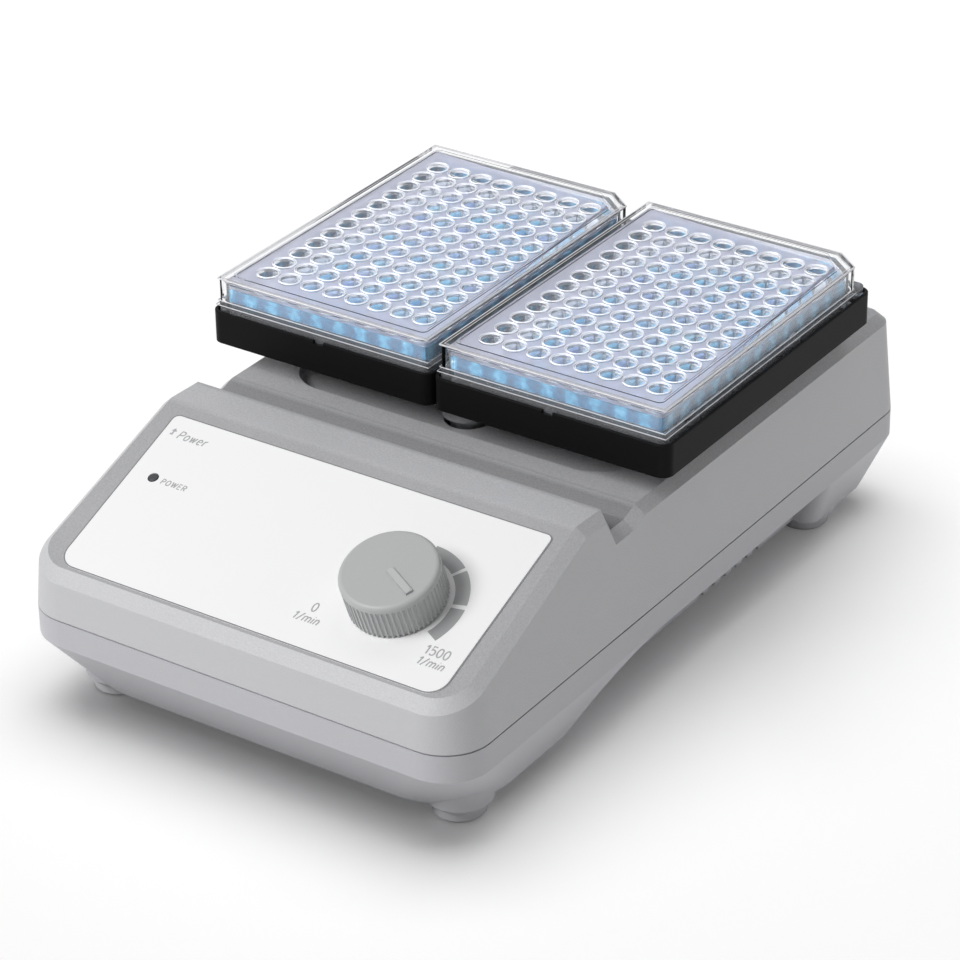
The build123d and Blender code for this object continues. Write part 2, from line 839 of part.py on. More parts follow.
# Motor
with BuildPart() as motor_housing:
    with BuildSketch(Plane.XY.offset(motor_bottom)):
        with Locations((0, drive_y)):
            Circle(motor_radius)
    extrude(amount=motor_height)
    with BuildSketch(Plane.XY.offset(chassis_height)):
        with Locations((0, drive_y)):
            Circle(motor_collar_radius)
    extrude(amount=motor_collar_height)
    with BuildSketch(Plane.XY.offset(motor_bottom + motor_shell)):
        with Locations((0, drive_y)):
            Circle(motor_radius - motor_shell)
    extrude(amount=motor_height - 2 * motor_shell, mode=Mode.SUBTRACT)
    with BuildSketch(Plane.XY.offset(motor_bottom + motor_shell)):
        with Locations((0, drive_y)):
            Circle(motor_bearing_radius + motor_seat_wall)
            Circle(motor_bearing_radius + thread_clearance, mode=Mode.SUBTRACT)
    extrude(amount=motor_bearing_width)
    with BuildSketch(Plane.XY.offset(chassis_height - motor_shell)):
        with Locations((0, drive_y)):
            Circle(motor_bearing_radius + motor_seat_wall)
            Circle(motor_bearing_radius + thread_clearance, mode=Mode.SUBTRACT)
    extrude(amount=-motor_bearing_width)
    with BuildSketch(Plane.XY.offset(chassis_height - motor_shell)):
        with Locations((0, drive_y)):
            Circle(motor_shaft_hole)
            with PolarLocations(motor_screw_circle, 4, start_angle=45):
                Circle(motor_screw_radius + thread_clearance)
    extrude(amount=motor_height, mode=Mode.SUBTRACT)
motor_housing.part.label = "motor_housing"
export_step(motor_housing.part, "parts/motor_housing.step")

with BuildPart() as motor_bearings:
    for base in (motor_bottom + motor_shell, chassis_height - motor_shell - motor_bearing_width):
        with BuildSketch(Plane.XY.offset(base)):
            with Locations((0, drive_y)):
                Circle(motor_bearing_radius)
                Circle(motor_shaft_radius + running_clearance, mode=Mode.SUBTRACT)
        extrude(amount=motor_bearing_width)
motor_bearings.part.label = "motor_bearings"
export_step(motor_bearings.part, "parts/motor_bearings.step")

with BuildPart() as motor_stator:
    with BuildSketch(Plane.XY.offset(motor_middle - stator_height / 2)):
        with Locations((0, drive_y)):
            Circle(motor_radius - motor_shell - stator_gap)
            Circle(stator_bore, mode=Mode.SUBTRACT)
            with PolarLocations(stator_bore, stator_slots):
                Rectangle(2 * stator_slot_depth, stator_slot_width, mode=Mode.SUBTRACT)
    extrude(amount=stator_height)
motor_stator.part.label = "motor_stator"
export_step(motor_stator.part, "parts/motor_stator.step")

with BuildPart() as motor_winding:
    for end in (-1, 1):
        with BuildSketch(Plane.XY.offset(motor_middle + end * stator_height / 2)):
            with Locations((0, drive_y)):
                Circle(winding_outer_radius)
                Circle(winding_inner_radius, mode=Mode.SUBTRACT)
        extrude(amount=end * winding_height)
motor_winding.part.label = "motor_winding"
export_step(motor_winding.part, "parts/motor_winding.step")

with BuildPart() as motor_rotor:
    with BuildSketch(Plane.XY.offset(motor_middle - rotor_height / 2)):
        with Locations((0, drive_y)):
            Circle(rotor_radius)
            Circle(motor_shaft_radius + thread_clearance, mode=Mode.SUBTRACT)
    extrude(amount=rotor_height)
motor_rotor.part.label = "motor_rotor"
export_step(motor_rotor.part, "parts/motor_rotor.step")

with BuildPart() as motor_shaft:
    with BuildSketch(Plane.XY.offset(motor_bottom + motor_shell)):
        with Locations((0, drive_y)):
            Circle(motor_shaft_radius)
    extrude(amount=motor_height - motor_shell + motor_shaft_reach)
motor_shaft.part.label = "motor_shaft"
export_step(motor_shaft.part, "parts/motor_shaft.step")

with BuildPart() as motor_screws:
    with BuildSketch(Plane.XY.offset(chassis_top)):
        with Locations((0, drive_y)):
            with PolarLocations(motor_screw_circle, 4, start_angle=45):
                Circle(motor_screw_head_radius)
                RegularPolygon(motor_screw_radius, 6, mode=Mode.SUBTRACT)
    extrude(amount=motor_screw_head_height)
    with BuildSketch(Plane.XY.offset(chassis_top + motor_screw_head_height / 2)):
        with Locations((0, drive_y)):
            with PolarLocations(motor_screw_circle, 4, start_angle=45):
                Circle(motor_screw_radius)
    extrude(amount=-motor_screw_length - motor_screw_head_height / 2)
motor_screws.part.label = "motor_screws"
export_step(motor_screws.part, "parts/motor_screws.step")

# Crank on the motor's shaft, with its pin one orbit radius off the axis
with BuildPart() as eccentric_crank:
    with BuildSketch(Plane.XY.offset(hub_base)):
        with Locations((0, drive_y)):
            Circle(crank_hub_radius)
    extrude(amount=crank_hub_height)
    with BuildSketch(Plane.XY.offset(hub_top)):
        with Locations((0, tray_y)):
            Circle(crank_shoulder_radius)
    extrude(amount=crank_shoulder_height)
    with BuildSketch(Plane.XY.offset(bearing_base)):
        with Locations((0, tray_y)):
            Circle(crank_journal_radius)
    extrude(amount=bearing_width - journal_gap)
    with BuildSketch(Plane.XY.offset(hub_base)):
        with Locations((0, drive_y)):
            Circle(motor_shaft_radius + thread_clearance)
    extrude(amount=chassis_height + motor_shaft_reach - hub_base, mode=Mode.SUBTRACT)
    with BuildSketch(Plane.XY.offset(bearing_top)):
        with Locations((0, tray_y)):
            Circle(journal_screw_radius + thread_clearance)
    extrude(amount=-journal_screw_length, mode=Mode.SUBTRACT)
    with BuildSketch(Plane.XZ.offset(-drive_y)):
        with Locations((0, weight_middle)):
            Circle(set_screw_radius + thread_clearance)
    extrude(amount=2 * crank_hub_radius, mode=Mode.SUBTRACT)
eccentric_crank.part.label = "eccentric_crank"
export_step(eccentric_crank.part, "parts/eccentric_crank.step")

with BuildPart() as counterweight:
    with BuildSketch(Plane.XY.offset(weight_middle - counterweight_thickness / 2)):
        with Locations((0, drive_y)):
            Circle(counterweight_radius)
        with Locations((0, drive_y - counterweight_radius + counterweight_edge)):
            Rectangle(2 * counterweight_radius, 2 * counterweight_radius, mode=Mode.SUBTRACT)
        with Locations((0, drive_y)):
            Circle(counterweight_clamp_radius)
            Circle(crank_hub_radius + thread_clearance, mode=Mode.SUBTRACT)
    extrude(amount=counterweight_thickness)
    with BuildSketch(Plane.XZ.offset(-drive_y)):
        with Locations((0, weight_middle)):
            Circle(set_screw_radius + thread_clearance)
    extrude(amount=2 * counterweight_clamp_radius, mode=Mode.SUBTRACT)
counterweight.part.label = "counterweight"
export_step(counterweight.part, "parts/counterweight.step")

with BuildPart() as crank_set_screw:
    with BuildSketch(Plane.XZ.offset(motor_shaft_radius + set_screw_gap - drive_y)):
        with Locations((0, weight_middle)):
            Circle(set_screw_radius)
    extrude(amount=counterweight_clamp_radius - motor_shaft_radius - set_screw_gap)
    with BuildSketch(Plane.XZ.offset(counterweight_clamp_radius - drive_y)):
        with Locations((0, weight_middle)):
            RegularPolygon(set_screw_radius * 0.6, 6)
    extrude(amount=-set_screw_radius, mode=Mode.SUBTRACT)
crank_set_screw.part.label = "crank_set_screw"
export_step(crank_set_screw.part, "parts/crank_set_screw.step")

with BuildPart() as bearing_inner_ring:
    with BuildSketch(Plane.XY.offset(bearing_base)):
        with Locations((0, tray_y)):
            Circle(crank_journal_radius + bearing_race)
            Circle(crank_journal_radius + thread_clearance, mode=Mode.SUBTRACT)
    extrude(amount=bearing_width)
    with Locations((0, tray_y, bearing_base + bearing_width / 2)):
        Torus(ball_circle, ball_radius + bearing_ball_clearance, mode=Mode.SUBTRACT)
bearing_inner_ring.part.label = "bearing_inner_ring"
export_step(bearing_inner_ring.part, "parts/bearing_inner_ring.step")

with BuildPart() as bearing_balls:
    with Locations((0, tray_y, bearing_base + bearing_width / 2)):
        with PolarLocations(ball_circle, bearing_ball_count):
            Sphere(ball_radius)
bearing_balls.part.label = "bearing_balls"
export_step(bearing_balls.part, "parts/bearing_balls.step")

with BuildPart() as bearing_outer_ring:
    with BuildSketch(Plane.XY.offset(bearing_base)):
        with Locations((0, tray_y)):
            Circle(bearing_outer_radius)
            Circle(bearing_outer_radius - bearing_race, mode=Mode.SUBTRACT)
    extrude(amount=bearing_width)
    with Locations((0, tray_y, bearing_base + bearing_width / 2)):
        Torus(ball_circle, ball_radius + bearing_ball_clearance, mode=Mode.SUBTRACT)
bearing_outer_ring.part.label = "bearing_outer_ring"
export_step(bearing_outer_ring.part, "parts/bearing_outer_ring.step")

with BuildPart() as journal_screw:
    with BuildSketch(Plane.XY.offset(bearing_top)):
        with Locations((0, tray_y)):
            Circle(journal_screw_head_radius)
            RegularPolygon(journal_screw_radius, 6, mode=Mode.SUBTRACT)
    extrude(amount=journal_screw_head_height)
    with BuildSketch(Plane.XY.offset(bearing_top + journal_screw_head_height / 2)):
        with Locations((0, tray_y)):
            Circle(journal_screw_radius)
    extrude(amount=-journal_screw_length + journal_gap)
journal_screw.part.label = "journal_screw"
export_step(journal_screw.part, "parts/journal_screw.step")

# Idler cranks
with BuildPart() as idler_bushes:
    with BuildSketch(Plane.XY.offset(chassis_top + bush_flange_thickness)):
        with Locations(*idler_spots):
            Circle(bush_radius)
            Circle(idler_pin_radius + running_clearance, mode=Mode.SUBTRACT)
    extrude(amount=-bush_length)
    with BuildSketch(Plane.XY.offset(chassis_top)):
        with Locations(*idler_spots):
            Circle(bush_flange_radius)
            Circle(idler_pin_radius + running_clearance, mode=Mode.SUBTRACT)
    extrude(amount=bush_flange_thickness)
idler_bushes.part.label = "idler_bushes"
export_step(idler_bushes.part, "parts/idler_bushes.step")


def idler_crank(spot, pin):
    """An upright column with a pin under it and a pin off its axis on top."""
    with BuildPart() as idler:
        with BuildSketch(Plane.XY.offset(column_base)):
            with Locations(spot):
                Circle(idler_column_radius)
        extrude(amount=idler_column_height)
        with BuildSketch(Plane.XY.offset(column_base)):
            with Locations(spot):
                Circle(idler_pin_radius)
        extrude(amount=-idler_lower_pin)
        with BuildSketch(Plane.XY.offset(column_top)):
            with Locations(pin):
                Circle(idler_pin_radius)
        extrude(amount=idler_upper_pin)
    return idler.part


with BuildPart() as front_idler_crank:
    add(idler_crank(idler_spots[0], pin_spots[0]))
front_idler_crank.part.label = "front_idler_crank"
export_step(front_idler_crank.part, "parts/front_idler_crank.step")

with BuildPart() as left_idler_crank:
    add(idler_crank(idler_spots[1], pin_spots[1]))
left_idler_crank.part.label = "left_idler_crank"
export_step(left_idler_crank.part, "parts/left_idler_crank.step")

with BuildPart() as right_idler_crank:
    add(idler_crank(idler_spots[2], pin_spots[2]))
right_idler_crank.part.label = "right_idler_crank"
export_step(right_idler_crank.part, "parts/right_idler_crank.step")

# Platform
with BuildPart() as platform:
    with BuildSketch(Plane.XY.offset(platform_height)):
        with Locations((0, tray_y)):
            RectangleRounded(platform_width, platform_length, platform_corner)
    extrude(amount=platform_thickness)
    with BuildSketch(Plane.XY.offset(bearing_base - hub_skirt)):
        with Locations((0, tray_y)):
            Circle(hub_radius)
    extrude(amount=platform_height - bearing_base + hub_skirt)
    with BuildSketch(Plane.XY.offset(platform_height)):
        with Locations(*pin_spots):
            Circle(platform_boss_radius)
    extrude(amount=-platform_boss_drop)
    with BuildSketch(Plane.XY.offset(bearing_top)):
        with Locations((0, tray_y)):
            Circle(bearing_outer_radius + thread_clearance)
    extrude(amount=-2 * bearing_width, mode=Mode.SUBTRACT)
    with BuildSketch(Plane.XY.offset(bearing_top)):
        with Locations((0, tray_y)):
            Circle(hub_relief_radius)
    extrude(amount=hub_relief_height, mode=Mode.SUBTRACT)
    with BuildSketch(Plane.XY.offset(platform_height - platform_boss_drop)):
        with Locations(*pin_spots):
            Circle(bush_radius + thread_clearance)
    extrude(amount=platform_bush_length, mode=Mode.SUBTRACT)
    with BuildSketch(Plane.XY.offset(platform_top)):
        with Locations(*tray_screw_spots):
            Circle(tray_screw_radius + thread_clearance)
    extrude(amount=-tray_screw_grip, mode=Mode.SUBTRACT)
platform.part.label = "platform"
export_step(platform.part, "parts/platform.step")

with BuildPart() as platform_bushes:
    with BuildSketch(Plane.XY.offset(platform_height - platform_boss_drop)):
        with Locations(*pin_spots):
            Circle(bush_radius)
            Circle(idler_pin_radius + running_clearance, mode=Mode.SUBTRACT)
    extrude(amount=platform_bush_length)
platform_bushes.part.label = "platform_bushes"
export_step(platform_bushes.part, "parts/platform_bushes.step")


def sample_tray(x):
    """A low open tray with a ledge that holds a well plate by its edge."""
    inner_width = tray_width - 2 * tray_wall
    inner_length = tray_length - 2 * tray_wall
    with BuildPart() as tray:
        with BuildSketch(Plane.XY.offset(platform_top)):
            with Locations((x, tray_y)):
                RectangleRounded(tray_width, tray_length, tray_corner)
        extrude(amount=tray_height)
        with BuildSketch(Plane.XY.offset(platform_top + tray_ledge_height)):
            with Locations((x, tray_y)):
                RectangleRounded(inner_width, inner_length, tray_corner - tray_wall)
        extrude(amount=tray_height, mode=Mode.SUBTRACT)
        with BuildSketch(Plane.XY.offset(platform_top + tray_floor)):
            with Locations((x, tray_y)):
                Rectangle(inner_width - 2 * tray_ledge_width, inner_length - 2 * tray_ledge_width)
        extrude(amount=tray_height, mode=Mode.SUBTRACT)
        with BuildSketch(Plane.XY.offset(platform_top + tray_floor)):
            with Locations((x, tray_y)):
                with GridLocations(1, inner_length / (tray_rib_count + 1), 1, tray_rib_count):
                    Rectangle(inner_width - tray_ledge_width, tray_rib_width)
        extrude(amount=tray_rib_height)
        fillet(tray.edges().group_by(Axis.Z)[-1], tray_rim_round)
        with BuildSketch(Plane.XY.offset(platform_top + tray_height)):
            with Locations((x, tray_y - tray_length / 2)):
                Rectangle(tray_notch_width, 4 * tray_wall)
        extrude(amount=-tray_notch_depth, mode=Mode.SUBTRACT)
        with BuildSketch(Plane.XY.offset(platform_top)):
            with Locations((x, tray_y)):
                with GridLocations(2 * tray_screw_x, 2 * tray_screw_y, 2, 2):
                    Circle(tray_screw_radius + hole_clearance)
        extrude(amount=tray_floor, mode=Mode.SUBTRACT)
    return tray.part


with BuildPart() as left_tray:
    add(sample_tray(-tray_x))
left_tray.part.label = "left_tray"
export_step(left_tray.part, "parts/left_tray.step")

with BuildPart() as right_tray:
    add(sample_tray(tray_x))
right_tray.part.label = "right_tray"
export_step(right_tray.part, "parts/right_tray.step")

with BuildPart() as tray_screws:
    with BuildSketch(Plane.XY.offset(platform_top + tray_floor)):
        with Locations(*tray_screw_spots):
            Circle(tray_screw_head_radius)
            RegularPolygon(tray_screw_radius, 6, mode=Mode.SUBTRACT)
    extrude(amount=tray_screw_head_height)
    with BuildSketch(Plane.XY.offset(platform_top + tray_floor + tray_screw_head_height / 2)):
        with Locations(*tray_screw_spots):
            Circle(tray_screw_radius)
    extrude(amount=-tray_floor - tray_screw_head_height / 2 - tray_screw_grip)
tray_screws.part.label = "tray_screws"
export_step(tray_screws.part, "parts/tray_screws.step")


def cornered(half_width, half_length, x):
    """A rectangle in plan with its back right corner cut off."""
    with BuildSketch() as outline:
        with Locations((x, tray_y)):
            Polygon(
                (-half_width, -half_length),
                (half_width, -half_length),
                (half_width, half_length - lid_corner_y),
                (half_width - lid_corner_x, half_length),
                (-half_width, half_length),
                align=None,
            )
        fillet(outline.vertices(), lid_round)
    return outline.sketch


def well_plate(x):
    """A plate of open wells that hang from its deck inside a skirt."""
    body_half_width = plate_width / 2 - plate_body_inset
    body_half_length = plate_length / 2 - plate_body_inset
    with BuildPart() as plate:
        with BuildSketch(Plane.XY.offset(plate_base)):
            with Locations((x, tray_y)):
                RectangleRounded(plate_width, plate_length, plate_flange_radius)
        extrude(amount=plate_flange_height)
        with BuildSketch(Plane.XY.offset(flange_top)):
            add(cornered(body_half_width, body_half_length, x))
        extrude(amount=plate_deck - flange_top)
        with BuildSketch(Plane.XY.offset(plate_base)):
            add(cornered(body_half_width - plate_wall, body_half_length - plate_wall, x))
        extrude(amount=plate_deck - plate_deck_thickness - plate_base, mode=Mode.SUBTRACT)
        with BuildSketch(Plane.XY.offset(well_bottom - well_floor)):
            with Locations((x, tray_y)):
                with GridLocations(well_pitch, well_pitch, well_columns, well_rows):
                    Circle(well_tube_radius)
        extrude(amount=plate_top - well_bottom + well_floor)
        with BuildSketch(Plane.XY.offset(well_bottom)):
            with Locations((x, tray_y)):
                with GridLocations(well_pitch, well_pitch, well_columns, well_rows):
                    Circle(well_radius)
        extrude(amount=2 * well_depth_inside, mode=Mode.SUBTRACT)
    return plate.part


with BuildPart() as left_well_plate:
    add(well_plate(-tray_x))
left_well_plate.part.label = "left_well_plate"
export_step(left_well_plate.part, "parts/left_well_plate.step")

with BuildPart() as right_well_plate:
    add(well_plate(tray_x))
right_well_plate.part.label = "right_well_plate"
export_step(right_well_plate.part, "parts/right_well_plate.step")


def samples(x):
    """The liquid that stands in the wells of a plate."""
    with BuildPart() as liquid:
        with BuildSketch(Plane.XY.offset(well_bottom)):
            with Locations((x, tray_y)):
                with GridLocations(well_pitch, well_pitch, well_columns, well_rows):
                    Circle(well_radius - liquid_clearance)
        extrude(amount=liquid_depth)
    return liquid.part


with BuildPart() as left_samples:
    add(samples(-tray_x))
left_samples.part.label = "left_samples"
export_step(left_samples.part, "parts/left_samples.step")

with BuildPart() as right_samples:
    add(samples(tray_x))
right_samples.part.label = "right_samples"
export_step(right_samples.part, "parts/right_samples.step")


def plate_lid(x):
    """A clear lid with a skirt, four tabs that rest on the plate and a ridge for stacking."""
    half_width = plate_width / 2 - lid_inset
    half_length = plate_length / 2 - lid_inset
    with BuildPart() as lid:
        with BuildSketch(Plane.XY.offset(lid_top - lid_skirt)):
            add(cornered(half_width, half_length, x))
        extrude(amount=lid_skirt)
        with BuildSketch(Plane.XY.offset(flange_top)):
            with Locations((x, tray_y)):
                with GridLocations(2 * half_width - lid_wall, 2 * (half_length - lid_tab_inset), 2, 2):
                    Rectangle(lid_wall, lid_tab_width)
        extrude(amount=lid_top - lid_skirt / 2 - flange_top)
        with BuildSketch(Plane.XY.offset(flange_top)):
            add(cornered(half_width - lid_wall, half_length - lid_wall, x))
        extrude(amount=lid_top - lid_top_thickness - flange_top, mode=Mode.SUBTRACT)
        with BuildSketch(Plane.XY.offset(lid_top)):
            add(cornered(half_width - lid_rib_inset, half_length - lid_rib_inset, x))
            inner = lid_rib_inset + lid_rib_width
            add(cornered(half_width - inner, half_length - inner, x), mode=Mode.SUBTRACT)
        extrude(amount=lid_rib_height)
    return lid.part


with BuildPart() as left_plate_lid:
    add(plate_lid(-tray_x))
left_plate_lid.part.label = "left_plate_lid"
export_step(left_plate_lid.part, "parts/left_plate_lid.step")

with BuildPart() as right_plate_lid:
    add(plate_lid(tray_x))
right_plate_lid.part.label = "right_plate_lid"
export_step(right_plate_lid.part, "parts/right_plate_lid.step")

# Control panel
with BuildPart() as control_label:
    with BuildSketch(on_panel(0, 0)) as label_face:
        with Locations(((label_left + label_right) / 2, (label_front + label_back) / 2)):
            Rectangle(label_right - label_left, label_back - label_front)
        fillet(label_face.vertices().group_by(Axis.Y)[0], label_front_round)
        fillet(label_face.vertices().group_by(Axis.Y)[-1], label_back_round)
        with Locations((knob_x, 0)):
            Circle(pot_bush_radius + hole_clearance, mode=Mode.SUBTRACT)
        with Locations((lamp_x, lamp_reach)):
            Circle(lamp_radius + hole_clearance, mode=Mode.SUBTRACT)
    extrude(amount=label_thickness)
control_label.part.label = "control_label"
export_step(control_label.part, "parts/control_label.step")

with BuildPart() as power_lamp:
    with BuildSketch(on_panel(lamp_x, lamp_reach, board_depth)):
        Circle(lamp_radius)
    extrude(amount=board_depth + lamp_rise)
    fillet(power_lamp.faces().sort_by(Axis.Z)[-1].edges(), lamp_rise)
power_lamp.part.label = "power_lamp"
export_step(power_lamp.part, "parts/power_lamp.step")

with BuildPart() as control_board:
    with BuildSketch(on_panel(0, 0, board_under)):
        Rectangle(board_width, board_length)
        with Locations(*board_spots):
            Circle(board_screw_radius + hole_clearance, mode=Mode.SUBTRACT)
    extrude(amount=board_thickness)
control_board.part.label = "control_board"
export_step(control_board.part, "parts/control_board.step")

with BuildPart() as board_screws:
    with BuildSketch(on_panel(0, 0, board_under)):
        with Locations(*board_spots):
            Circle(board_screw_head_radius)
            RegularPolygon(board_screw_radius, 6, mode=Mode.SUBTRACT)
    extrude(amount=-board_screw_head_height)
    with BuildSketch(on_panel(0, 0, board_under + board_screw_head_height / 2)):
        with Locations(*board_spots):
            Circle(board_screw_radius)
    extrude(amount=board_screw_length + board_screw_head_height / 2)
board_screws.part.label = "board_screws"
export_step(board_screws.part, "parts/board_screws.step")

with BuildPart() as board_capacitors:
    with BuildSketch(on_panel(capacitor_x, capacitor_reach, board_depth)):
        with GridLocations(capacitor_pitch, 1, 3, 1):
            Circle(capacitor_radius)
    extrude(amount=capacitor_height)
board_capacitors.part.label = "board_capacitors"
export_step(board_capacitors.part, "parts/board_capacitors.step")

with BuildPart() as heat_sink:
    with BuildSketch(on_panel(heat_sink_x, 0, board_depth)):
        Rectangle(heat_sink_width, heat_sink_length)
    extrude(amount=heat_sink_base)
    with BuildSketch(on_panel(heat_sink_x, 0, board_depth)):
        with GridLocations((heat_sink_width - heat_sink_fin) / (heat_sink_fins - 1), 1, heat_sink_fins, 1):
            Rectangle(heat_sink_fin, heat_sink_length)
    extrude(amount=heat_sink_height)
heat_sink.part.label = "heat_sink"
export_step(heat_sink.part, "parts/heat_sink.step")

with BuildPart() as speed_potentiometer:
    with BuildSketch(on_panel(knob_x, 0, board_depth)):
        Circle(pot_radius)
    extrude(amount=board_depth - wall - pot_gap)
    with BuildSketch(on_panel(knob_x, 0, wall + pot_gap)):
        Circle(pot_bush_radius)
    extrude(amount=wall + pot_gap + pot_bush_rise)
    with BuildSketch(on_panel(knob_x, 0, pot_cavity_depth + pot_cavity_height)):
        Circle(pot_cavity_radius)
    extrude(amount=pot_cavity_height, mode=Mode.SUBTRACT)
    with BuildSketch(on_panel(knob_x, 0, pot_cavity_depth)):
        Circle(pot_shaft_radius + running_clearance)
    extrude(amount=pot_cavity_depth + 2 * pot_bush_rise, mode=Mode.SUBTRACT)
speed_potentiometer.part.label = "speed_potentiometer"
export_step(speed_potentiometer.part, "parts/speed_potentiometer.step")

with BuildPart() as potentiometer_nut:
    with BuildSketch(on_panel(knob_x, 0, -label_thickness)):
        RegularPolygon(pot_nut_radius, 6)
        Circle(pot_bush_radius + thread_clearance, mode=Mode.SUBTRACT)
    extrude(amount=pot_nut_height)
potentiometer_nut.part.label = "potentiometer_nut"
export_step(potentiometer_nut.part, "parts/potentiometer_nut.step")

with BuildPart() as potentiometer_shaft:
    shaft_depth = pot_cavity_depth + pot_cavity_height - pot_wiper_thickness
    with BuildSketch(on_panel(knob_x, 0, shaft_depth)):
        Circle(pot_wiper_radius)
    extrude(amount=pot_wiper_thickness)
    with BuildSketch(on_panel(knob_x, 0, shaft_depth)):
        Circle(pot_shaft_radius)
    extrude(amount=shaft_depth + pot_shaft_rise)
potentiometer_shaft.part.label = "potentiometer_shaft"
export_step(potentiometer_shaft.part, "parts/potentiometer_shaft.step")

with BuildPart() as speed_knob:
    with BuildSketch(on_panel(knob_x, 0, -knob_gap)):
        Circle(knob_radius)
    extrude(amount=knob_height)
    fillet(speed_knob.faces().sort_by(Axis.Z)[-1].edges(), knob_edge)
    with BuildSketch(on_panel(knob_x, 0, -knob_gap)):
        with PolarLocations(knob_radius, knob_flutes):
            Circle(knob_flute_radius)
    extrude(amount=knob_height - knob_flute_margin, mode=Mode.SUBTRACT)
    with BuildSketch(on_panel(knob_x, 0, -knob_gap)):
        Circle(knob_hollow_radius)
    extrude(amount=knob_hollow_depth, mode=Mode.SUBTRACT)
    with BuildSketch(on_panel(knob_x, 0, -knob_gap - knob_hub_start)):
        Circle(knob_hub_radius)
    extrude(amount=knob_hollow_depth - knob_hub_start)
    with BuildSketch(on_panel(knob_x, 0, -knob_gap)):
        Circle(pot_shaft_radius + thread_clearance)
    extrude(amount=pot_shaft_rise - knob_gap, mode=Mode.SUBTRACT)
    with BuildSketch(on_panel(knob_x, 0, -knob_gap - knob_height)):
        with PolarLocations(pointer_start + pointer_length / 2, 1, start_angle=pointer_angle):
            Rectangle(pointer_length, pointer_width)
    extrude(amount=pointer_rise)
speed_knob.part.label = "speed_knob"
export_step(speed_knob.part, "parts/speed_knob.step")

# Mains transformer
with BuildPart() as transformer_bracket:
    with BuildSketch(Plane.XY.offset(tub_bottom + tub_floor)):
        with Locations((transformer_x, transformer_y)):
            Rectangle(bracket_width, transformer_stack)
            with GridLocations(2 * bracket_screw_x, 1, 2, 1):
                Circle(foot_screw_radius + hole_clearance, mode=Mode.SUBTRACT)
    extrude(amount=bracket_thickness)
transformer_bracket.part.label = "transformer_bracket"
export_step(transformer_bracket.part, "parts/transformer_bracket.step")

with BuildPart() as transformer_screws:
    with BuildSketch(Plane.XY.offset(bracket_top)):
        with Locations((transformer_x, transformer_y)):
            with GridLocations(2 * bracket_screw_x, 1, 2, 1):
                Circle(foot_screw_head_radius)
                RegularPolygon(foot_screw_radius, 6, mode=Mode.SUBTRACT)
    extrude(amount=foot_screw_head_height)
    with BuildSketch(Plane.XY.offset(bracket_top + foot_screw_head_height / 2)):
        with Locations((transformer_x, transformer_y)):
            with GridLocations(2 * bracket_screw_x, 1, 2, 1):
                Circle(foot_screw_radius)
    extrude(amount=-bracket_screw_length - foot_screw_head_height / 2)
transformer_screws.part.label = "transformer_screws"
export_step(transformer_screws.part, "parts/transformer_screws.step")

core_middle = bracket_top + transformer_height / 2
core_plane = Plane.XZ.offset(-transformer_y)
with BuildPart() as transformer_core:
    with BuildSketch(core_plane):
        with Locations((transformer_x, core_middle)):
            Rectangle(transformer_width, transformer_height)
            with GridLocations(transformer_leg + transformer_window, 1, 2, 1):
                Rectangle(transformer_window, transformer_height - 2 * transformer_yoke, mode=Mode.SUBTRACT)
    extrude(amount=transformer_stack / 2, both=True)
transformer_core.part.label = "transformer_core"
export_step(transformer_core.part, "parts/transformer_core.step")

winding_height_half = transformer_height / 2 - transformer_yoke - winding_clearance
with BuildPart() as transformer_winding:
    with BuildSketch(Plane.XY.offset(core_middle)):
        with Locations((transformer_x, transformer_y)):
            bore_width = transformer_leg + 2 * winding_clearance
            bore_length = transformer_stack + 2 * winding_clearance
            winding_width = transformer_leg + 2 * (transformer_window - winding_clearance)
            RectangleRounded(winding_width, bore_length + 2 * winding_bulge, winding_round)
            Rectangle(bore_width, bore_length, mode=Mode.SUBTRACT)
    extrude(amount=winding_height_half, both=True)
transformer_winding.part.label = "transformer_winding"
export_step(transformer_winding.part, "parts/transformer_winding.step")

# Power entry
with BuildPart() as power_inlet:
    with BuildSketch(entry_plane):
        RectangleRounded(entry_width, entry_tall, entry_corner)
        with GridLocations(2 * entry_screw_x, 1, 2, 1):
            Circle(entry_screw_radius + hole_clearance, mode=Mode.SUBTRACT)
    extrude(amount=entry_flange)
    with BuildSketch(entry_plane):
        Rectangle(entry_body_width, entry_body_tall)
    extrude(amount=-entry_body_depth)
    with BuildSketch(entry_plane.offset(entry_flange)) as socket_mouth:
        with Locations((socket_x, 0)):
            Rectangle(socket_width, socket_tall)
        chamfer(socket_mouth.vertices().group_by(Axis.Y)[-1], socket_chamfer)
    extrude(amount=-socket_depth, mode=Mode.SUBTRACT)
    with BuildSketch(entry_plane.offset(entry_flange - socket_depth)):
        with Locations(*pin_places):
            Rectangle(pin_thickness, pin_tall)
    extrude(amount=-entry_body_depth, mode=Mode.SUBTRACT)
    with BuildSketch(entry_plane.offset(entry_flange)):
        with Locations((fuse_x, 0)):
            Rectangle(fuse_width, fuse_tall)
    extrude(amount=-fuse_depth, mode=Mode.SUBTRACT)
    with BuildSketch(entry_plane.offset(entry_flange)):
        with Locations((switch_x, 0)):
            Rectangle(switch_width, switch_tall)
    extrude(amount=-switch_depth, mode=Mode.SUBTRACT)
power_inlet.part.label = "power_inlet"
export_step(power_inlet.part, "parts/power_inlet.step")

with BuildPart() as inlet_pins:
    with BuildSketch(entry_plane.offset(entry_flange - socket_depth + pin_length)):
        with Locations(*pin_places):
            Rectangle(pin_thickness, pin_tall)
    extrude(amount=-(pin_length + entry_body_depth + entry_flange - socket_depth + pin_tail))
inlet_pins.part.label = "inlet_pins"
export_step(inlet_pins.part, "parts/inlet_pins.step")

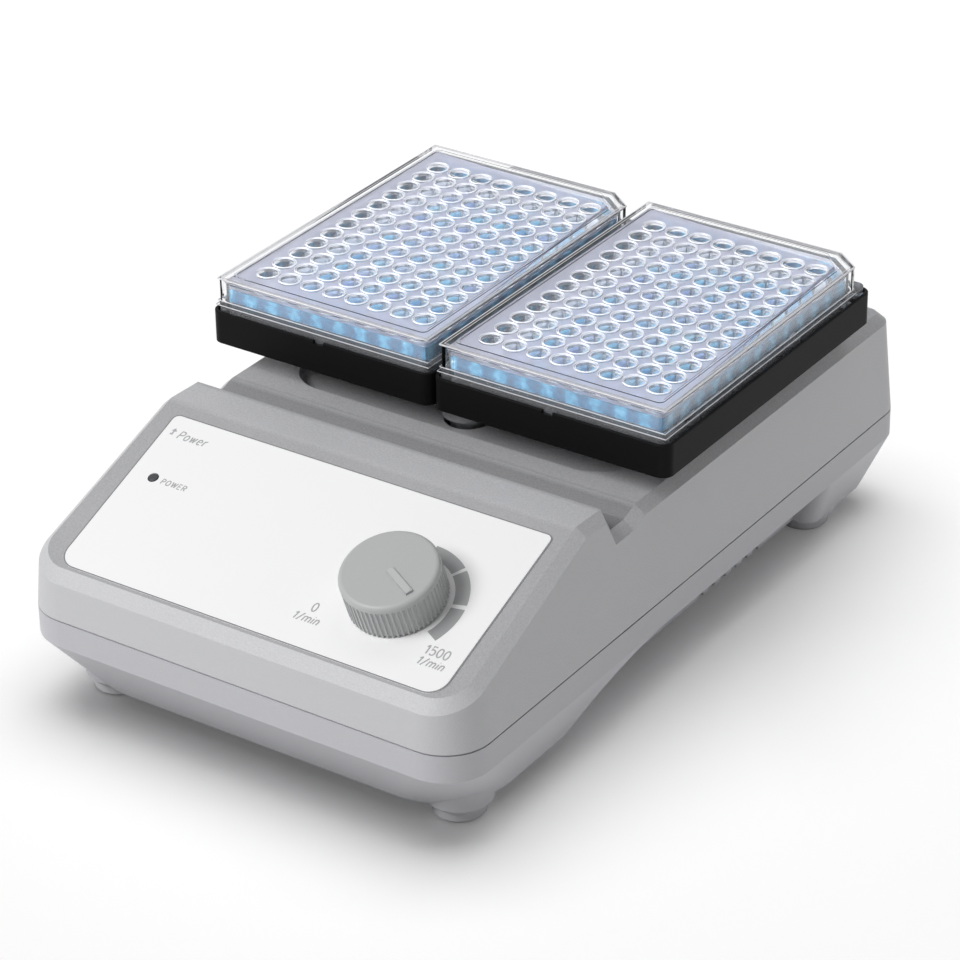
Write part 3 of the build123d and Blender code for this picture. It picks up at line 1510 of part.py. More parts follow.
with BuildPart() as inlet_screws:
    with BuildSketch(entry_plane.offset(entry_flange)):
        with GridLocations(2 * entry_screw_x, 1, 2, 1):
            Circle(entry_screw_head_radius)
            RegularPolygon(entry_screw_radius, 6, mode=Mode.SUBTRACT)
    extrude(amount=entry_screw_head_height)
    with BuildSketch(entry_plane.offset(entry_flange + entry_screw_head_height / 2)):
        with GridLocations(2 * entry_screw_x, 1, 2, 1):
            Circle(entry_screw_radius)
    extrude(amount=-entry_screw_length - entry_screw_head_height / 2)
inlet_screws.part.label = "inlet_screws"
export_step(inlet_screws.part, "parts/inlet_screws.step")

drawer_width = fuse_width - 2 * fuse_clearance
drawer_tall = fuse_tall - 2 * fuse_clearance
with BuildPart() as fuse_drawer:
    with BuildSketch(entry_plane.offset(entry_flange)):
        with Locations((fuse_x, 0)):
            Rectangle(fuse_width + 2 * fuse_lip_border, fuse_tall + 2 * fuse_lip_border)
    extrude(amount=fuse_lip)
    with BuildSketch(entry_plane.offset(entry_flange)):
        with Locations((fuse_x, 0)):
            Rectangle(drawer_width, drawer_tall)
    extrude(amount=-fuse_depth + fuse_clearance)
    with BuildSketch(entry_plane.offset(entry_flange - fuse_end)):
        with Locations((fuse_x, 0)):
            with GridLocations(1, fuse_spacing, 1, 2):
                Rectangle(2 * fuse_radius, 2 * fuse_radius)
        with Locations((fuse_x + drawer_width / 2, 0)):
            with GridLocations(1, fuse_spacing, 1, 2):
                Rectangle(drawer_width, 2 * fuse_radius)
    extrude(amount=-fuse_length, mode=Mode.SUBTRACT)
fuse_drawer.part.label = "fuse_drawer"
export_step(fuse_drawer.part, "parts/fuse_drawer.step")

with BuildPart() as fuses:
    with BuildSketch(entry_plane.offset(entry_flange - fuse_end)):
        with Locations((fuse_x, 0)):
            with GridLocations(1, fuse_spacing, 1, 2):
                Circle(fuse_radius - thread_clearance)
    extrude(amount=-fuse_length)
fuses.part.label = "fuses"
export_step(fuses.part, "parts/fuses.step")

with BuildPart() as switch_bezel:
    with BuildSketch(entry_plane.offset(entry_flange - switch_depth)):
        with Locations((switch_x, 0)):
            Rectangle(switch_width, switch_tall)
    extrude(amount=switch_depth + switch_bezel_rise)
    with BuildSketch(entry_plane.offset(entry_flange - rocker_room)):
        with Locations((switch_x, 0)):
            Rectangle(rocker_width + 2 * rocker_side_gap, rocker_tall + 2 * rocker_gap)
    extrude(amount=2 * rocker_room, mode=Mode.SUBTRACT)
    with BuildSketch(rocker_plane):
        Circle(rocker_pin_radius + running_clearance)
    extrude(amount=rocker_width / 2 + rocker_pin_reach + rocker_side_gap, both=True, mode=Mode.SUBTRACT)
switch_bezel.part.label = "switch_bezel"
export_step(switch_bezel.part, "parts/switch_bezel.step")

with BuildPart() as switch_rocker:
    with BuildSketch(rocker_plane):
        Polygon(
            (-rocker_tail_half, -rocker_tail),
            (rocker_tail_half, -rocker_tail),
            (rocker_tall / 2, 0),
            (rocker_tall / 2, rocker_rise),
            (0, rocker_valley),
            (-rocker_tall / 2, rocker_rise),
            (-rocker_tall / 2, 0),
            align=None,
            rotation=rocker_tilt,
        )
    extrude(amount=rocker_width / 2, both=True)
    with BuildSketch(rocker_plane):
        Circle(rocker_pin_radius)
    extrude(amount=rocker_width / 2 + rocker_pin_reach, both=True)
switch_rocker.part.label = "switch_rocker"
export_step(switch_rocker.part, "parts/switch_rocker.step")
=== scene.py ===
import logging
import math
from dataclasses import dataclass
from enum import Enum
from functools import cache

import bpy
from mathutils import Matrix, Vector


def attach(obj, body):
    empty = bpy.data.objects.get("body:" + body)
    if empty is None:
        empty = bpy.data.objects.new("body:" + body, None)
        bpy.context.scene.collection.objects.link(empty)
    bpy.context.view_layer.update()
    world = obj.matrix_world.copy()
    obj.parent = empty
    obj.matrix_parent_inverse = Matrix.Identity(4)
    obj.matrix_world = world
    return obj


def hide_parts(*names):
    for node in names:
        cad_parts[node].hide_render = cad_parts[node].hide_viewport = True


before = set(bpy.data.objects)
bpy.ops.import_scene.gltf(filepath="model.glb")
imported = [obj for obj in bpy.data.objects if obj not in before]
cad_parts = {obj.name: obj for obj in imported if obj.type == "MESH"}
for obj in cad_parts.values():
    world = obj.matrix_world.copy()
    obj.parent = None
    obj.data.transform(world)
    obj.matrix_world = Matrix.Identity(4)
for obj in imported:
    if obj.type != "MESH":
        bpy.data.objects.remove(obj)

log = logging.getLogger("shaker")

MM = 0.001
Colour = tuple[float, float, float]
Point = tuple[float, float, float]
Flat = tuple[float, float]
Face = tuple[int, ...]
Shape = tuple[list[Point], list[Face]]
Stops = tuple[tuple[float, Colour], ...]


class Look(Enum):
    """How the finishes of this instrument differ in kind."""

    SOLID = "solid"
    CLEAR = "clear"


class Wiring:
    """Adds nodes to one tree and joins them."""

    def __init__(self, tree: bpy.types.NodeTree) -> None:
        """Keeps the tree that the nodes go into."""
        self.tree = tree

    def add(self, kind: str, inputs: dict | None = None, **settings: object) -> bpy.types.Node:
        """Adds one node.

        Args:
            kind: The node's type, such as "ShaderNodeBump".
            inputs: A value or a socket for some of its inputs, by name or index.
            settings: Attributes of the node, which are set first.

        Returns:
            The new node.
        """
        node = self.tree.nodes.new(kind)
        for name, value in settings.items():
            setattr(node, name, value)
        self.feed(node, inputs or {})
        return node

    def feed(self, node: bpy.types.Node, inputs: dict) -> None:
        """Gives some of a node's inputs a value or a link.

        Args:
            node: The node.
            inputs: A value or a socket for each input, by name or index.
        """
        for label, value in inputs.items():
            if isinstance(value, bpy.types.NodeSocket):
                self.tree.links.new(value, node.inputs[label])
            else:
                node.inputs[label].default_value = value

    @property
    def shader(self) -> bpy.types.Node:
        """The material's Principled node."""
        return self.tree.nodes["Principled BSDF"]

    def maths(self, operation: str, first: object, second: object = 0.0) -> bpy.types.NodeSocket:
        """Adds a Math node.

        Args:
            operation: The Math node's operation.
            first: A socket or a number.
            second: A socket or a number.

        Returns:
            The node's output socket.
        """
        return self.add("ShaderNodeMath", {0: first, 1: second}, operation=operation).outputs[0]

    def noise(self, scale: object, detail: float, roughness: float = 0.5) -> bpy.types.NodeSocket:
        """Adds a noise over the object's own coordinates.

        Args:
            scale: Its cells per metre, as a number or a socket.
            detail: How many finer octaves it has.
            roughness: How much the finer octaves weigh.

        Returns:
            The noise's socket, which swings about a half.
        """
        place = self.add("ShaderNodeTexCoord").outputs["Object"]
        inputs = {"Vector": place, "Scale": scale, "Detail": detail, "Roughness": roughness}
        return self.add("ShaderNodeTexNoise", inputs).outputs["Fac"]

    def rise(self, source: bpy.types.NodeSocket, span: Flat, ends: Flat) -> bpy.types.NodeSocket:
        """Adds a value that runs from one end to the other as a measure rises.

        Args:
            source: The measure.
            span: Where the value leaves its first end and where it reaches its last.
            ends: The value's first and last end.

        Returns:
            The value's socket.
        """
        inputs = {"From Min": span[0], "From Max": span[1], "To Min": ends[0], "To Max": ends[1]}
        node = self.add("ShaderNodeMapRange", {"Value": source, **inputs}, clamp=True)
        return node.outputs["Result"]

    def ramp(self, source: bpy.types.NodeSocket, stops: Stops) -> bpy.types.NodeSocket:
        """Adds a ramp of colours.

        Args:
            source: Where on the ramp the colour is taken.
            stops: The place and the colour of each stop, in rising order.

        Returns:
            The colour's socket.
        """
        node = self.add("ShaderNodeValToRGB", {"Fac": source})
        elements = node.color_ramp.elements
        ready = len(elements)
        for index, (stop, colour) in enumerate(stops):
            element = elements[index] if index < ready else elements.new(stop)
            element.position = stop
            element.color = (*colour, 1)
        return node.outputs["Color"]


class Effects:
    """Node groups that more than one finish uses, each built once."""

    NOISE_MIDDLE = 0.5
    GRAIN_DETAIL = 3.0
    GRAIN_ROUGHNESS = 0.65
    CLOUD_SCALE = 14.0
    CLOUD_DETAIL = 2.0
    CLOUD_SHARE = 0.35
    PATCH_DETAIL = 4.0
    WELLS_PER_METRE = 1 / 0.009
    FIRST_COLUMN_END = 0.5
    LAST_ROW_START = 10.5
    WELL_TINTS: Stops = (
        (0.0, (0.10, 0.38, 0.68)),
        (0.3, (0.22, 0.60, 0.80)),
        (0.55, (0.30, 0.40, 0.70)),
        (0.8, (0.40, 0.68, 0.80)),
        (1.0, (0.48, 0.50, 0.72)),
    )
    EDGE_WELL_TINT = (0.70, 0.71, 0.76, 1)

    @staticmethod
    def start(name: str, inputs: dict[str, str], outputs: dict[str, str]) -> tuple:
        """Makes an empty group with its sockets.

        Args:
            name: The group's name.
            inputs: Kind of socket for each input's name.
            outputs: Kind of socket for each output's name.

        Returns:
            The group, its wiring, the sockets of its input node and its output node.
        """
        tree = bpy.data.node_groups.new(name, "ShaderNodeTree")
        for way, sockets in (("INPUT", inputs), ("OUTPUT", outputs)):
            for label, kind in sockets.items():
                tree.interface.new_socket(name=label, in_out=way, socket_type="NodeSocket" + kind)
        wiring = Wiring(tree)
        given = wiring.add("NodeGroupInput").outputs
        return tree, wiring, given, wiring.add("NodeGroupOutput")

    @classmethod
    @cache
    def speckle(cls) -> bpy.types.NodeTree:
        """The fine grain of textured plastic and paint, as a colour and a height."""
        tree, wiring, given, made = cls.start(
            "speckle",
            {"Colour": "Color", "Scale": "Float", "Spread": "Float"},
            {"Colour": "Color", "Height": "Float"},
        )
        grain = wiring.noise(given["Scale"], cls.GRAIN_DETAIL, cls.GRAIN_ROUGHNESS)
        cloud = wiring.noise(cls.CLOUD_SCALE, cls.CLOUD_DETAIL)
        fine = wiring.maths("SUBTRACT", grain, cls.NOISE_MIDDLE)
        broad = wiring.maths("SUBTRACT", cloud, cls.NOISE_MIDDLE)
        both = wiring.maths("ADD", fine, wiring.maths("MULTIPLY", broad, cls.CLOUD_SHARE))
        level = wiring.maths("ADD", wiring.maths("MULTIPLY", both, given["Spread"]), 1.0)
        tone = wiring.add("ShaderNodeHueSaturation", {"Value": level, "Color": given["Colour"]})
        wiring.feed(made, {"Colour": tone.outputs["Color"], "Height": grain})
        return tree

    @classmethod
    @cache
    def handling(cls) -> bpy.types.NodeTree:
        """Faint patches of more and less shine, as a roughness."""
        tree, wiring, given, made = cls.start(
            "handling",
            {"Roughness": "Float", "Scale": "Float", "Spread": "Float"},
            {"Roughness": "Float"},
        )
        patch = wiring.noise(given["Scale"], cls.PATCH_DETAIL)
        swing = wiring.maths("MULTIPLY", wiring.maths("SUBTRACT", patch, cls.NOISE_MIDDLE), given["Spread"])
        wiring.feed(made, {"Roughness": wiring.maths("ADD", swing, given["Roughness"])})
        return tree

    @classmethod
    @cache
    def well_tint(cls) -> bpy.types.NodeTree:
        """A colour for each well of a plate, from the well's place in the plate's grid."""
        tree, wiring, given, made = cls.start("well tint", {"Corner": "Vector"}, {"Colour": "Color"})
        spot = wiring.add("ShaderNodeTexCoord").outputs["Object"]
        steps = (
            ("SUBTRACT", given["Corner"]),
            ("MULTIPLY", (cls.WELLS_PER_METRE, cls.WELLS_PER_METRE, 0)),
            ("FLOOR", (0, 0, 0)),
        )
        for operation, second in steps:
            spot = wiring.add("ShaderNodeVectorMath", {0: spot, 1: second}, operation=operation).outputs[0]
        draw = wiring.add("ShaderNodeTexWhiteNoise", {"Vector": spot}, noise_dimensions="3D")
        tint = wiring.ramp(draw.outputs["Value"], cls.WELL_TINTS)
        cell = wiring.add("ShaderNodeSeparateXYZ", {0: spot}).outputs
        first_column = wiring.maths("LESS_THAN", cell["X"], cls.FIRST_COLUMN_END)
        last_row = wiring.maths("GREATER_THAN", cell["Y"], cls.LAST_ROW_START)
        edge = wiring.maths("MAXIMUM", first_column, last_row)
        mix = wiring.add("ShaderNodeMix", {0: edge, 6: tint, 7: cls.EDGE_WELL_TINT}, data_type="RGBA")
        wiring.feed(made, {"Colour": mix.outputs[2]})
        return tree


@dataclass(frozen=True)
class Finish:
    """One opaque or clear finish of a piece of the shaker.

    The grain's and the patches' scales are in cells per metre, and the relief is in metres.
    """

    name: str
    colour: Colour = (0.5, 0.5, 0.5)
    roughness: float = 0.5
    metallic: float = 0.0
    specular: float = 0.5
    coat: float = 0.0
    coat_roughness: float = 0.08
    grain: float = 900.0
    spread: float = 0.08
    relief: float = 0.0
    relief_strength: float = 0.5
    patch: float = 0.05
    patch_scale: float = 30.0
    transmission: float = 0.0
    ior: float = 1.5
    passed_light: Colour = (0.93, 0.95, 0.97)
    look: Look = Look.SOLID

    def material(self) -> bpy.types.Material:
        """Builds the material, or gives the one already built.

        Returns:
            The material of this finish.
        """
        known = bpy.data.materials.get(self.name)
        if known:
            return known
        material = bpy.data.materials.new(self.name)
        material.use_nodes = True
        wiring = Wiring(material.node_tree)
        patches = wiring.add(
            "ShaderNodeGroup",
            {"Roughness": self.roughness, "Scale": self.patch_scale, "Spread": self.patch},
            node_tree=Effects.handling(),
        )
        inputs = {
            "Metallic": self.metallic,
            "Specular IOR Level": self.specular,
            "Coat Weight": self.coat,
            "Coat Roughness": self.coat_roughness,
            "Transmission Weight": self.transmission,
            "IOR": self.ior,
            "Roughness": patches.outputs["Roughness"],
        }
        wiring.feed(wiring.shader, inputs)
        self.colour_into(wiring)
        if self.look is Look.CLEAR:
            self.let_lamps_through(wiring)
        return material

    def colour_into(self, wiring: Wiring) -> None:
        """Feeds the shader's colour and relief from the speckle group.

        Args:
            wiring: The material's wiring.
        """
        inputs = {"Colour": (*self.colour, 1), "Scale": self.grain, "Spread": self.spread}
        grain = wiring.add("ShaderNodeGroup", inputs, node_tree=Effects.speckle()).outputs
        wiring.feed(wiring.shader, {"Base Color": grain["Colour"]})
        if self.relief:
            inputs = {"Strength": self.relief_strength, "Distance": self.relief, "Height": grain["Height"]}
            bump = wiring.add("ShaderNodeBump", inputs)
            wiring.feed(wiring.shader, {"Normal": bump.outputs["Normal"]})

    def let_lamps_through(self, wiring: Wiring) -> None:
        """Lets a lamp's light pass a clear moulding, so that what is inside is lit.

        Args:
            wiring: The material's wiring.
        """
        shadow = wiring.add("ShaderNodeLightPath").outputs["Is Shadow Ray"]
        through = wiring.add("ShaderNodeBsdfTransparent", {"Color": (*self.passed_light, 1)})
        inputs = {0: shadow, 1: wiring.shader.outputs[0], 2: through.outputs[0]}
        mix = wiring.add("ShaderNodeMixShader", inputs)
        wiring.feed(wiring.tree.nodes["Material Output"], {"Surface": mix.outputs[0]})


@dataclass(frozen=True)
class SampleFinish(Finish):
    """The liquid in one plate's wells, coloured well by well."""

    corner: Point = (0.0, 0.0, 0.0)

    def colour_into(self, wiring: Wiring) -> None:
        """Feeds the shader's colour from the well's place.

        Args:
            wiring: The material's wiring.
        """
        tint = wiring.add("ShaderNodeGroup", {"Corner": self.corner}, node_tree=Effects.well_tint())
        wiring.feed(wiring.shader, {"Base Color": tint.outputs["Colour"]})


@dataclass(frozen=True)
class GlowFinish(Finish):
    """The blue that a plate's outer tubes show through its wall, with bars of painted highlight one pitch
    apart and a pale painted glint.
    """

    pitch: float = 0.009
    highlight_bar_share: float = 0.22
    ripple_scale: float = 420.0
    ripple_detail: float = 2.0
    ripple_share: float = 1.04
    # The last, near-white stop is a painted glint.
    stops: Stops = (
        (0.0, (0.02, 0.05, 0.09)),
        (0.46, (0.04, 0.17, 0.31)),
        (0.68, (0.08, 0.32, 0.50)),
        (0.9, (0.20, 0.50, 0.68)),
        (1.0, (0.80, 0.90, 0.95)),
    )

    def colour_into(self, wiring: Wiring) -> None:
        """Feeds the shader's colour from bars of painted highlight and from a fine ripple.

        Args:
            wiring: The material's wiring.
        """
        place = wiring.add("ShaderNodeTexCoord").outputs["Object"]
        spot = wiring.add("ShaderNodeSeparateXYZ", {0: place}).outputs
        ripple = wiring.noise(self.ripple_scale, self.ripple_detail)
        run = wiring.maths("ADD", spot["X"], spot["Y"])
        turns = wiring.maths("MULTIPLY", run, 2 * math.pi / self.pitch)
        bars = wiring.maths("MULTIPLY", wiring.maths("SINE", turns), self.highlight_bar_share)
        level = wiring.maths("ADD", wiring.maths("MULTIPLY", ripple, self.ripple_share), bars)
        wiring.feed(wiring.shader, {"Base Color": wiring.ramp(level, self.stops)})


@dataclass(frozen=True)
class ShellFinish(Finish):
    """Textured plastic, with painted shade that darkens the sloping front and the groove behind it.

    Places along the instrument are in metres. A pair of leans says how much of a face's unit
    normal lies along some direction where an effect starts, and where it is complete.
    """

    slope: float = math.radians(21.0)
    slope_painted_shade: float = 0.73
    slope_back: float = -0.0605
    slope_leans: Flat = (0.90, 0.985)
    groove_front: float = -0.0465
    groove_back: float = -0.0310
    groove_painted_shade: float = 0.52
    side_leans: Flat = (0.3, 0.6)
    level_leans: Flat = (0.45, 0.75)
    blend: float = 0.0035

    def colour_into(self, wiring: Wiring) -> None:
        """Feeds the shader's colour from the grain, darkened by painted shade on the sloping front and in
        the groove, by where the face is and how it leans.

        Args:
            wiring: The material's wiring.
        """
        super().colour_into(wiring)
        grain = wiring.shader.inputs["Base Color"].links[0].from_socket
        face = wiring.add("ShaderNodeTexCoord").outputs
        out = (0.0, -math.sin(self.slope), math.cos(self.slope))
        lean = wiring.add("ShaderNodeVectorMath", {0: face["Normal"], 1: out}, operation="DOT_PRODUCT")
        along = wiring.add("ShaderNodeSeparateXYZ", {0: face["Object"]}).outputs["Y"]
        facing = wiring.add("ShaderNodeSeparateXYZ", {0: face["Normal"]}).outputs
        fall = (1.0, 0.0)
        # Painted shade: faces that lean like the sloping front, ahead of slope_back, are darkened by the
        # slope's painted shade.
        slope_shade_by_lean = wiring.rise(lean.outputs["Value"], self.slope_leans, (1.0, self.slope_painted_shade))
        on_slope = wiring.rise(along, (self.slope_back - self.blend, self.slope_back), fall)
        slope_painted_darkening = wiring.maths("MULTIPLY", wiring.maths("SUBTRACT", 1.0, slope_shade_by_lean), on_slope)
        front = wiring.maths("SUBTRACT", 1.0, slope_painted_darkening)
        # Painted shade in the groove: faces between groove_front and groove_back that don't face sideways
        # are darkened.
        before = wiring.rise(along, (self.groove_front - self.blend, self.groove_front), fall)
        not_behind = wiring.rise(along, (self.groove_back, self.groove_back + self.blend), fall)
        not_side = wiring.rise(wiring.maths("ABSOLUTE", facing["X"]), self.side_leans, fall)
        inside = wiring.maths("MULTIPLY", wiring.maths("SUBTRACT", 1.0, before), not_behind)
        inside = wiring.maths("MULTIPLY", inside, not_side)
        groove_painted_darkening = wiring.maths("MULTIPLY", inside, 1.0 - self.groove_painted_shade)
        level = wiring.maths("MULTIPLY", front, wiring.maths("SUBTRACT", 1.0, groove_painted_darkening))
        upright = wiring.rise(facing["Z"], self.level_leans, fall)
        smooth = wiring.add(
            "ShaderNodeMix", {0: upright, 6: grain, 7: (*self.colour, 1)}, data_type="RGBA"
        )
        tone = wiring.add("ShaderNodeHueSaturation", {"Value": level, "Color": smooth.outputs[2]})
        wiring.feed(wiring.shader, {"Base Color": tone.outputs["Color"]})


@dataclass(frozen=True)
class DialPrintFinish(Finish):
    """Grey print whose tone changes round the dial."""

    stops: Stops = (
        (0.40, (0.32, 0.325, 0.33)),
        (0.58, (0.43, 0.435, 0.44)),
        (0.78, (0.32, 0.325, 0.33)),
    )

    def colour_into(self, wiring: Wiring) -> None:
        """Feeds the shader's colour from the angle about the dial's centre.

        Args:
            wiring: The material's wiring.
        """
        place = wiring.add("ShaderNodeTexCoord").outputs["Object"]
        around = wiring.add("ShaderNodeTexGradient", {"Vector": place}, gradient_type="RADIAL")
        wiring.feed(wiring.shader, {"Base Color": wiring.ramp(around.outputs["Fac"], self.stops)})


# The shell's finish paints shade on the sloping front and in the groove.
SHELL = ShellFinish(
    "shell_grey", (0.545, 0.546, 0.562), 0.44, grain=1700.0, spread=0.62, relief=0.00028
)
LOWER_SHELL = Finish(
    "lower_shell_grey", (0.50, 0.50, 0.525), 0.46, grain=1700.0, spread=0.12, relief=0.00005
)
LABEL = Finish("panel_film", (0.95, 0.95, 0.955), 0.30, grain=2600.0, spread=0.015, relief=0.00002)
PRINT = Finish("panel_print", (0.43, 0.435, 0.445), 0.45, grain=3000.0, spread=0.05)
EDGE_PRINT = Finish("panel_edge_print", (0.20, 0.205, 0.215), 0.40, grain=3000.0, spread=0.05)
DIAL_PRINT = DialPrintFinish("dial_print", roughness=0.45)
KNOB = Finish("knob_grey", (0.45, 0.46, 0.46), 0.45, grain=2200.0, spread=0.08, relief=0.00012)
POINTER = Finish("pointer_grey", (0.50, 0.51, 0.51), 0.42, grain=2200.0, spread=0.05)
# Painted highlight: the pale lines along the lid's and the flange's clear edges.
LID_EDGE_HIGHLIGHT = Finish("lid_edge", (0.80, 0.80, 0.83), 0.25, grain=1200.0, spread=0.5)
# Painted shade: the dark ring between each well's two pale rings.
RING_SHADE = Finish("ring_shade", (0.22, 0.23, 0.29), 0.25, grain=1500.0, spread=0.5)
# Painted shade: the dark line just inside the lid's top edge.
LID_EDGE_SHADE = Finish("lid_edge_dark", (0.30, 0.30, 0.33), 0.25, grain=900.0, spread=0.6)
LAMP = Finish("lamp_lens", (0.055, 0.058, 0.064), 0.42, specular=0.3, grain=3000.0, spread=0.1)
TRAY = Finish(
    "tray_black", (0.0085, 0.0085, 0.009), 0.42, specular=0.05, grain=1800.0, spread=0.3, relief=0.00006
)
RUBBER = Finish(
    "foot_rubber", (0.56, 0.56, 0.575), 0.75, specular=0.3, grain=2000.0, spread=0.2, relief=0.0002
)
BLACK_PLASTIC = Finish(
    "inlet_black", (0.02, 0.02, 0.021), 0.42, grain=1800.0, spread=0.2, relief=0.00006
)
ROCKER = Finish("rocker_black", (0.016, 0.016, 0.017), 0.25, coat=0.3, grain=2400.0, spread=0.15)
MARK = Finish("switch_mark", (0.85, 0.85, 0.85), 0.45, grain=3000.0, spread=0.04)
STEEL = Finish(
    "ground_steel", (0.56, 0.57, 0.58), 0.32, metallic=1.0, grain=3000.0, spread=0.12, relief=0.00003
)
ZINC = Finish(
    "zinc_plate", (0.60, 0.61, 0.62), 0.38, metallic=1.0, grain=2600.0, spread=0.18, relief=0.00003
)
CHROME = Finish("bearing_steel", (0.72, 0.72, 0.74), 0.12, metallic=1.0, grain=2000.0, spread=0.04)
PLATFORM_PAINT = Finish(
    "platform_grey", (0.50, 0.50, 0.515), 0.48, grain=1500.0, spread=0.3, relief=0.0001
)
ALUMINIUM = Finish(
    "milled_aluminium", (0.66, 0.67, 0.68), 0.40, metallic=1.0, grain=2000.0, spread=0.1, relief=0.00004
)
BRONZE = Finish(
    "sintered_bronze", (0.50, 0.33, 0.15), 0.45, metallic=1.0, grain=2600.0, spread=0.25, relief=0.00006
)
BRASS = Finish("turned_brass", (0.62, 0.46, 0.20), 0.30, metallic=1.0, grain=2000.0, spread=0.1)
COPPER = Finish(
    "enamelled_copper", (0.45, 0.17, 0.06), 0.35,
    metallic=0.8, coat=0.4, grain=4000.0, spread=0.4, relief=0.0002,
)
LAMINATION = Finish(
    "stacked_steel", (0.20, 0.20, 0.21), 0.50, metallic=0.9, grain=3500.0, spread=0.3, relief=0.0001
)
MOTOR_PAINT = Finish("motor_paint", (0.03, 0.03, 0.033), 0.45, grain=1800.0, spread=0.2, relief=0.0001)
BOARD = Finish("board_green", (0.02, 0.11, 0.05), 0.35, coat=0.3, grain=1500.0, spread=0.25)
CAPACITOR = Finish("capacitor_sleeve", (0.02, 0.02, 0.035), 0.30, coat=0.3, grain=1800.0, spread=0.1)
HEAT_SINK = Finish("anodised_black", (0.03, 0.03, 0.033), 0.40, metallic=0.7, grain=2500.0, spread=0.2)
POT_BODY = Finish("potentiometer_blue", (0.05, 0.11, 0.22), 0.40, grain=2000.0, spread=0.1)
FUSE = Finish("fuse_glass", (0.80, 0.84, 0.82), 0.08, transmission=0.6, look=Look.CLEAR, spread=0.03)
LID_CLEAR = Finish(
    "lid_clear", (0.99, 0.992, 0.997), 0.02,
    transmission=1.0, ior=1.13, patch=0.015, spread=0.0, look=Look.CLEAR,
)
PLATE_CLEAR = Finish(
    "plate_clear", (0.96, 0.968, 0.99), 0.06,
    transmission=0.92, ior=1.3, patch=0.03, spread=0.0, look=Look.CLEAR,
)
DECK_FROST = Finish(
    "deck_frost", (0.66, 0.66, 0.74), 0.30,
    transmission=0.80, ior=1.15, spread=0.06, grain=700.0, look=Look.CLEAR,
)
# The liquid's blue seen through the plate wall, with painted highlights.
TUBE_BLUE_HIGHLIGHTS = GlowFinish("tube_blue_highlights", roughness=0.3, specular=0.2)
# Painted highlight: the pale rings on each well's collar.
RIM_HIGHLIGHT = Finish(
    "rim_highlight", (0.88, 0.88, 0.91), 0.12,
    transmission=0.2, ior=1.4, spread=0.02, coat=0.5, look=Look.CLEAR,
)


def stand(name: str, data: bpy.types.ID, place: Matrix | None = None) -> bpy.types.Object:
    """Makes an object in the scene.

    Args:
        name: The object's name.
        data: Its mesh, curve, lamp or camera.
        place: Where it stands, if not at the row's origin.

    Returns:
        The new object.
    """
    item = bpy.data.objects.new(name, data)
    bpy.context.scene.collection.objects.link(item)
    if place is not None:
        item.matrix_world = place
    return item


class Piece:
    """Ways to make this model's own meshes, in millimetres in the row's frame."""

    @staticmethod
    def mesh(
        name: str,
        shape: Shape,
        body: str,
        finish: Finish,
        smooth: bool = False,
        place: Matrix | None = None,
    ) -> bpy.types.Object:
        """Makes a mesh piece that rides on a body.

        Args:
            name: The piece's name.
            shape: Its points in millimetres, and its faces as indices into them.
            body: The body that it rides on.
            finish: Its finish.
            smooth: Whether its faces are shaded smooth.
            place: The matrix of its own frame, if its points aren't in the row's.

        Returns:
            The new object.
        """
        data = bpy.data.meshes.new(name)
        points, faces = shape
        data.from_pydata([tuple(value * MM for value in point) for point in points], [], faces)
        data.validate()
        if smooth:
            data.shade_smooth()
        else:
            data.shade_flat()
        data.materials.append(finish.material())
        return Piece.settle(name, data, body, place)

    @staticmethod
    def settle(
        name: str, data: bpy.types.Mesh, body: str, place: Matrix | None = None
    ) -> bpy.types.Object:
        """Stands a mesh in the scene and lets it ride on a body.

        Args:
            name: The piece's name.
            data: Its mesh.
            body: The body that it rides on.
            place: Where it stands, if not at the row's origin.

        Returns:
            The piece.
        """
        item = stand(name, data, place)
        bpy.context.view_layer.update()
        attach(item, body)
        log.info("piece %s on %s", item.name, body)
        return item

    @staticmethod
    def circle(radius: float, count: int, middle: Flat = (0.0, 0.0), first: float = 0.0) -> list[Flat]:
        """Points evenly round a circle.

        Args:
            radius: The circle's radius.
            count: How many points it has.
            middle: Its middle.
            first: How far its first point is turned, in steps.

        Returns:
            The points, counter-clockwise.
        """
        turns = [2 * math.pi * (step + first) / count for step in range(count)]
        return [(middle[0] + radius * math.cos(t), middle[1] + radius * math.sin(t)) for t in turns]

    @staticmethod
    def rectangle(middle: Flat, half: Flat) -> list[Flat]:
        """The corners of a rectangle.

        Args:
            middle: Its middle.
            half: Half its width and half its length.

        Returns:
            The corners, from the front left one and counter-clockwise.
        """
        (x, y), (wide, long) = middle, half
        return [(x - wide, y - long), (x + wide, y - long), (x + wide, y + long), (x - wide, y + long)]

    @staticmethod
    def slab(outline: list[Flat], base: float, top: float) -> Shape:
        """A closed slab over an outline.

        Args:
            outline: The outline, counter-clockwise.
            base: Height of its underside.
            top: Height of its upper side.

        Returns:
            Its points and faces.
        """
        count = len(outline)
        points = [(x, y, z) for z in (base, top) for x, y in outline]
        faces = [tuple(reversed(range(count))), tuple(range(count, 2 * count))]
        faces += [(i, (i + 1) % count, count + (i + 1) % count, count + i) for i in range(count)]
        return points, faces

    @staticmethod
    def ring_strip(inner: list[Flat], outer: list[Flat], base: float, top: float) -> Shape:
        """A closed flat strip between two outlines with as many points each.

        Args:
            inner: The inner outline.
            outer: The outer outline.
            base: Height of its underside.
            top: Height of its upper side.

        Returns:
            Its points and faces.
        """
        count = len(inner)
        points = [(x, y, z) for z in (base, top) for line in (inner, outer) for x, y in line]
        faces = []
        for i in range(count):
            j = (i + 1) % count
            a, b, c, d = i, j, count + j, count + i
            low = 2 * count
            faces += [
                (a, b, c, d),
                (low + a, low + d, low + c, low + b),
                (d, c, low + c, low + d),
                (a, low + a, low + b, b),
            ]
        return points, faces


@dataclass(frozen=True)
class TypeSize:
    """How a word is lettered, in millimetres and shares of the letters' height."""

    height: float
    stretch: float
    stroke: float
    slant: float
    gap: float


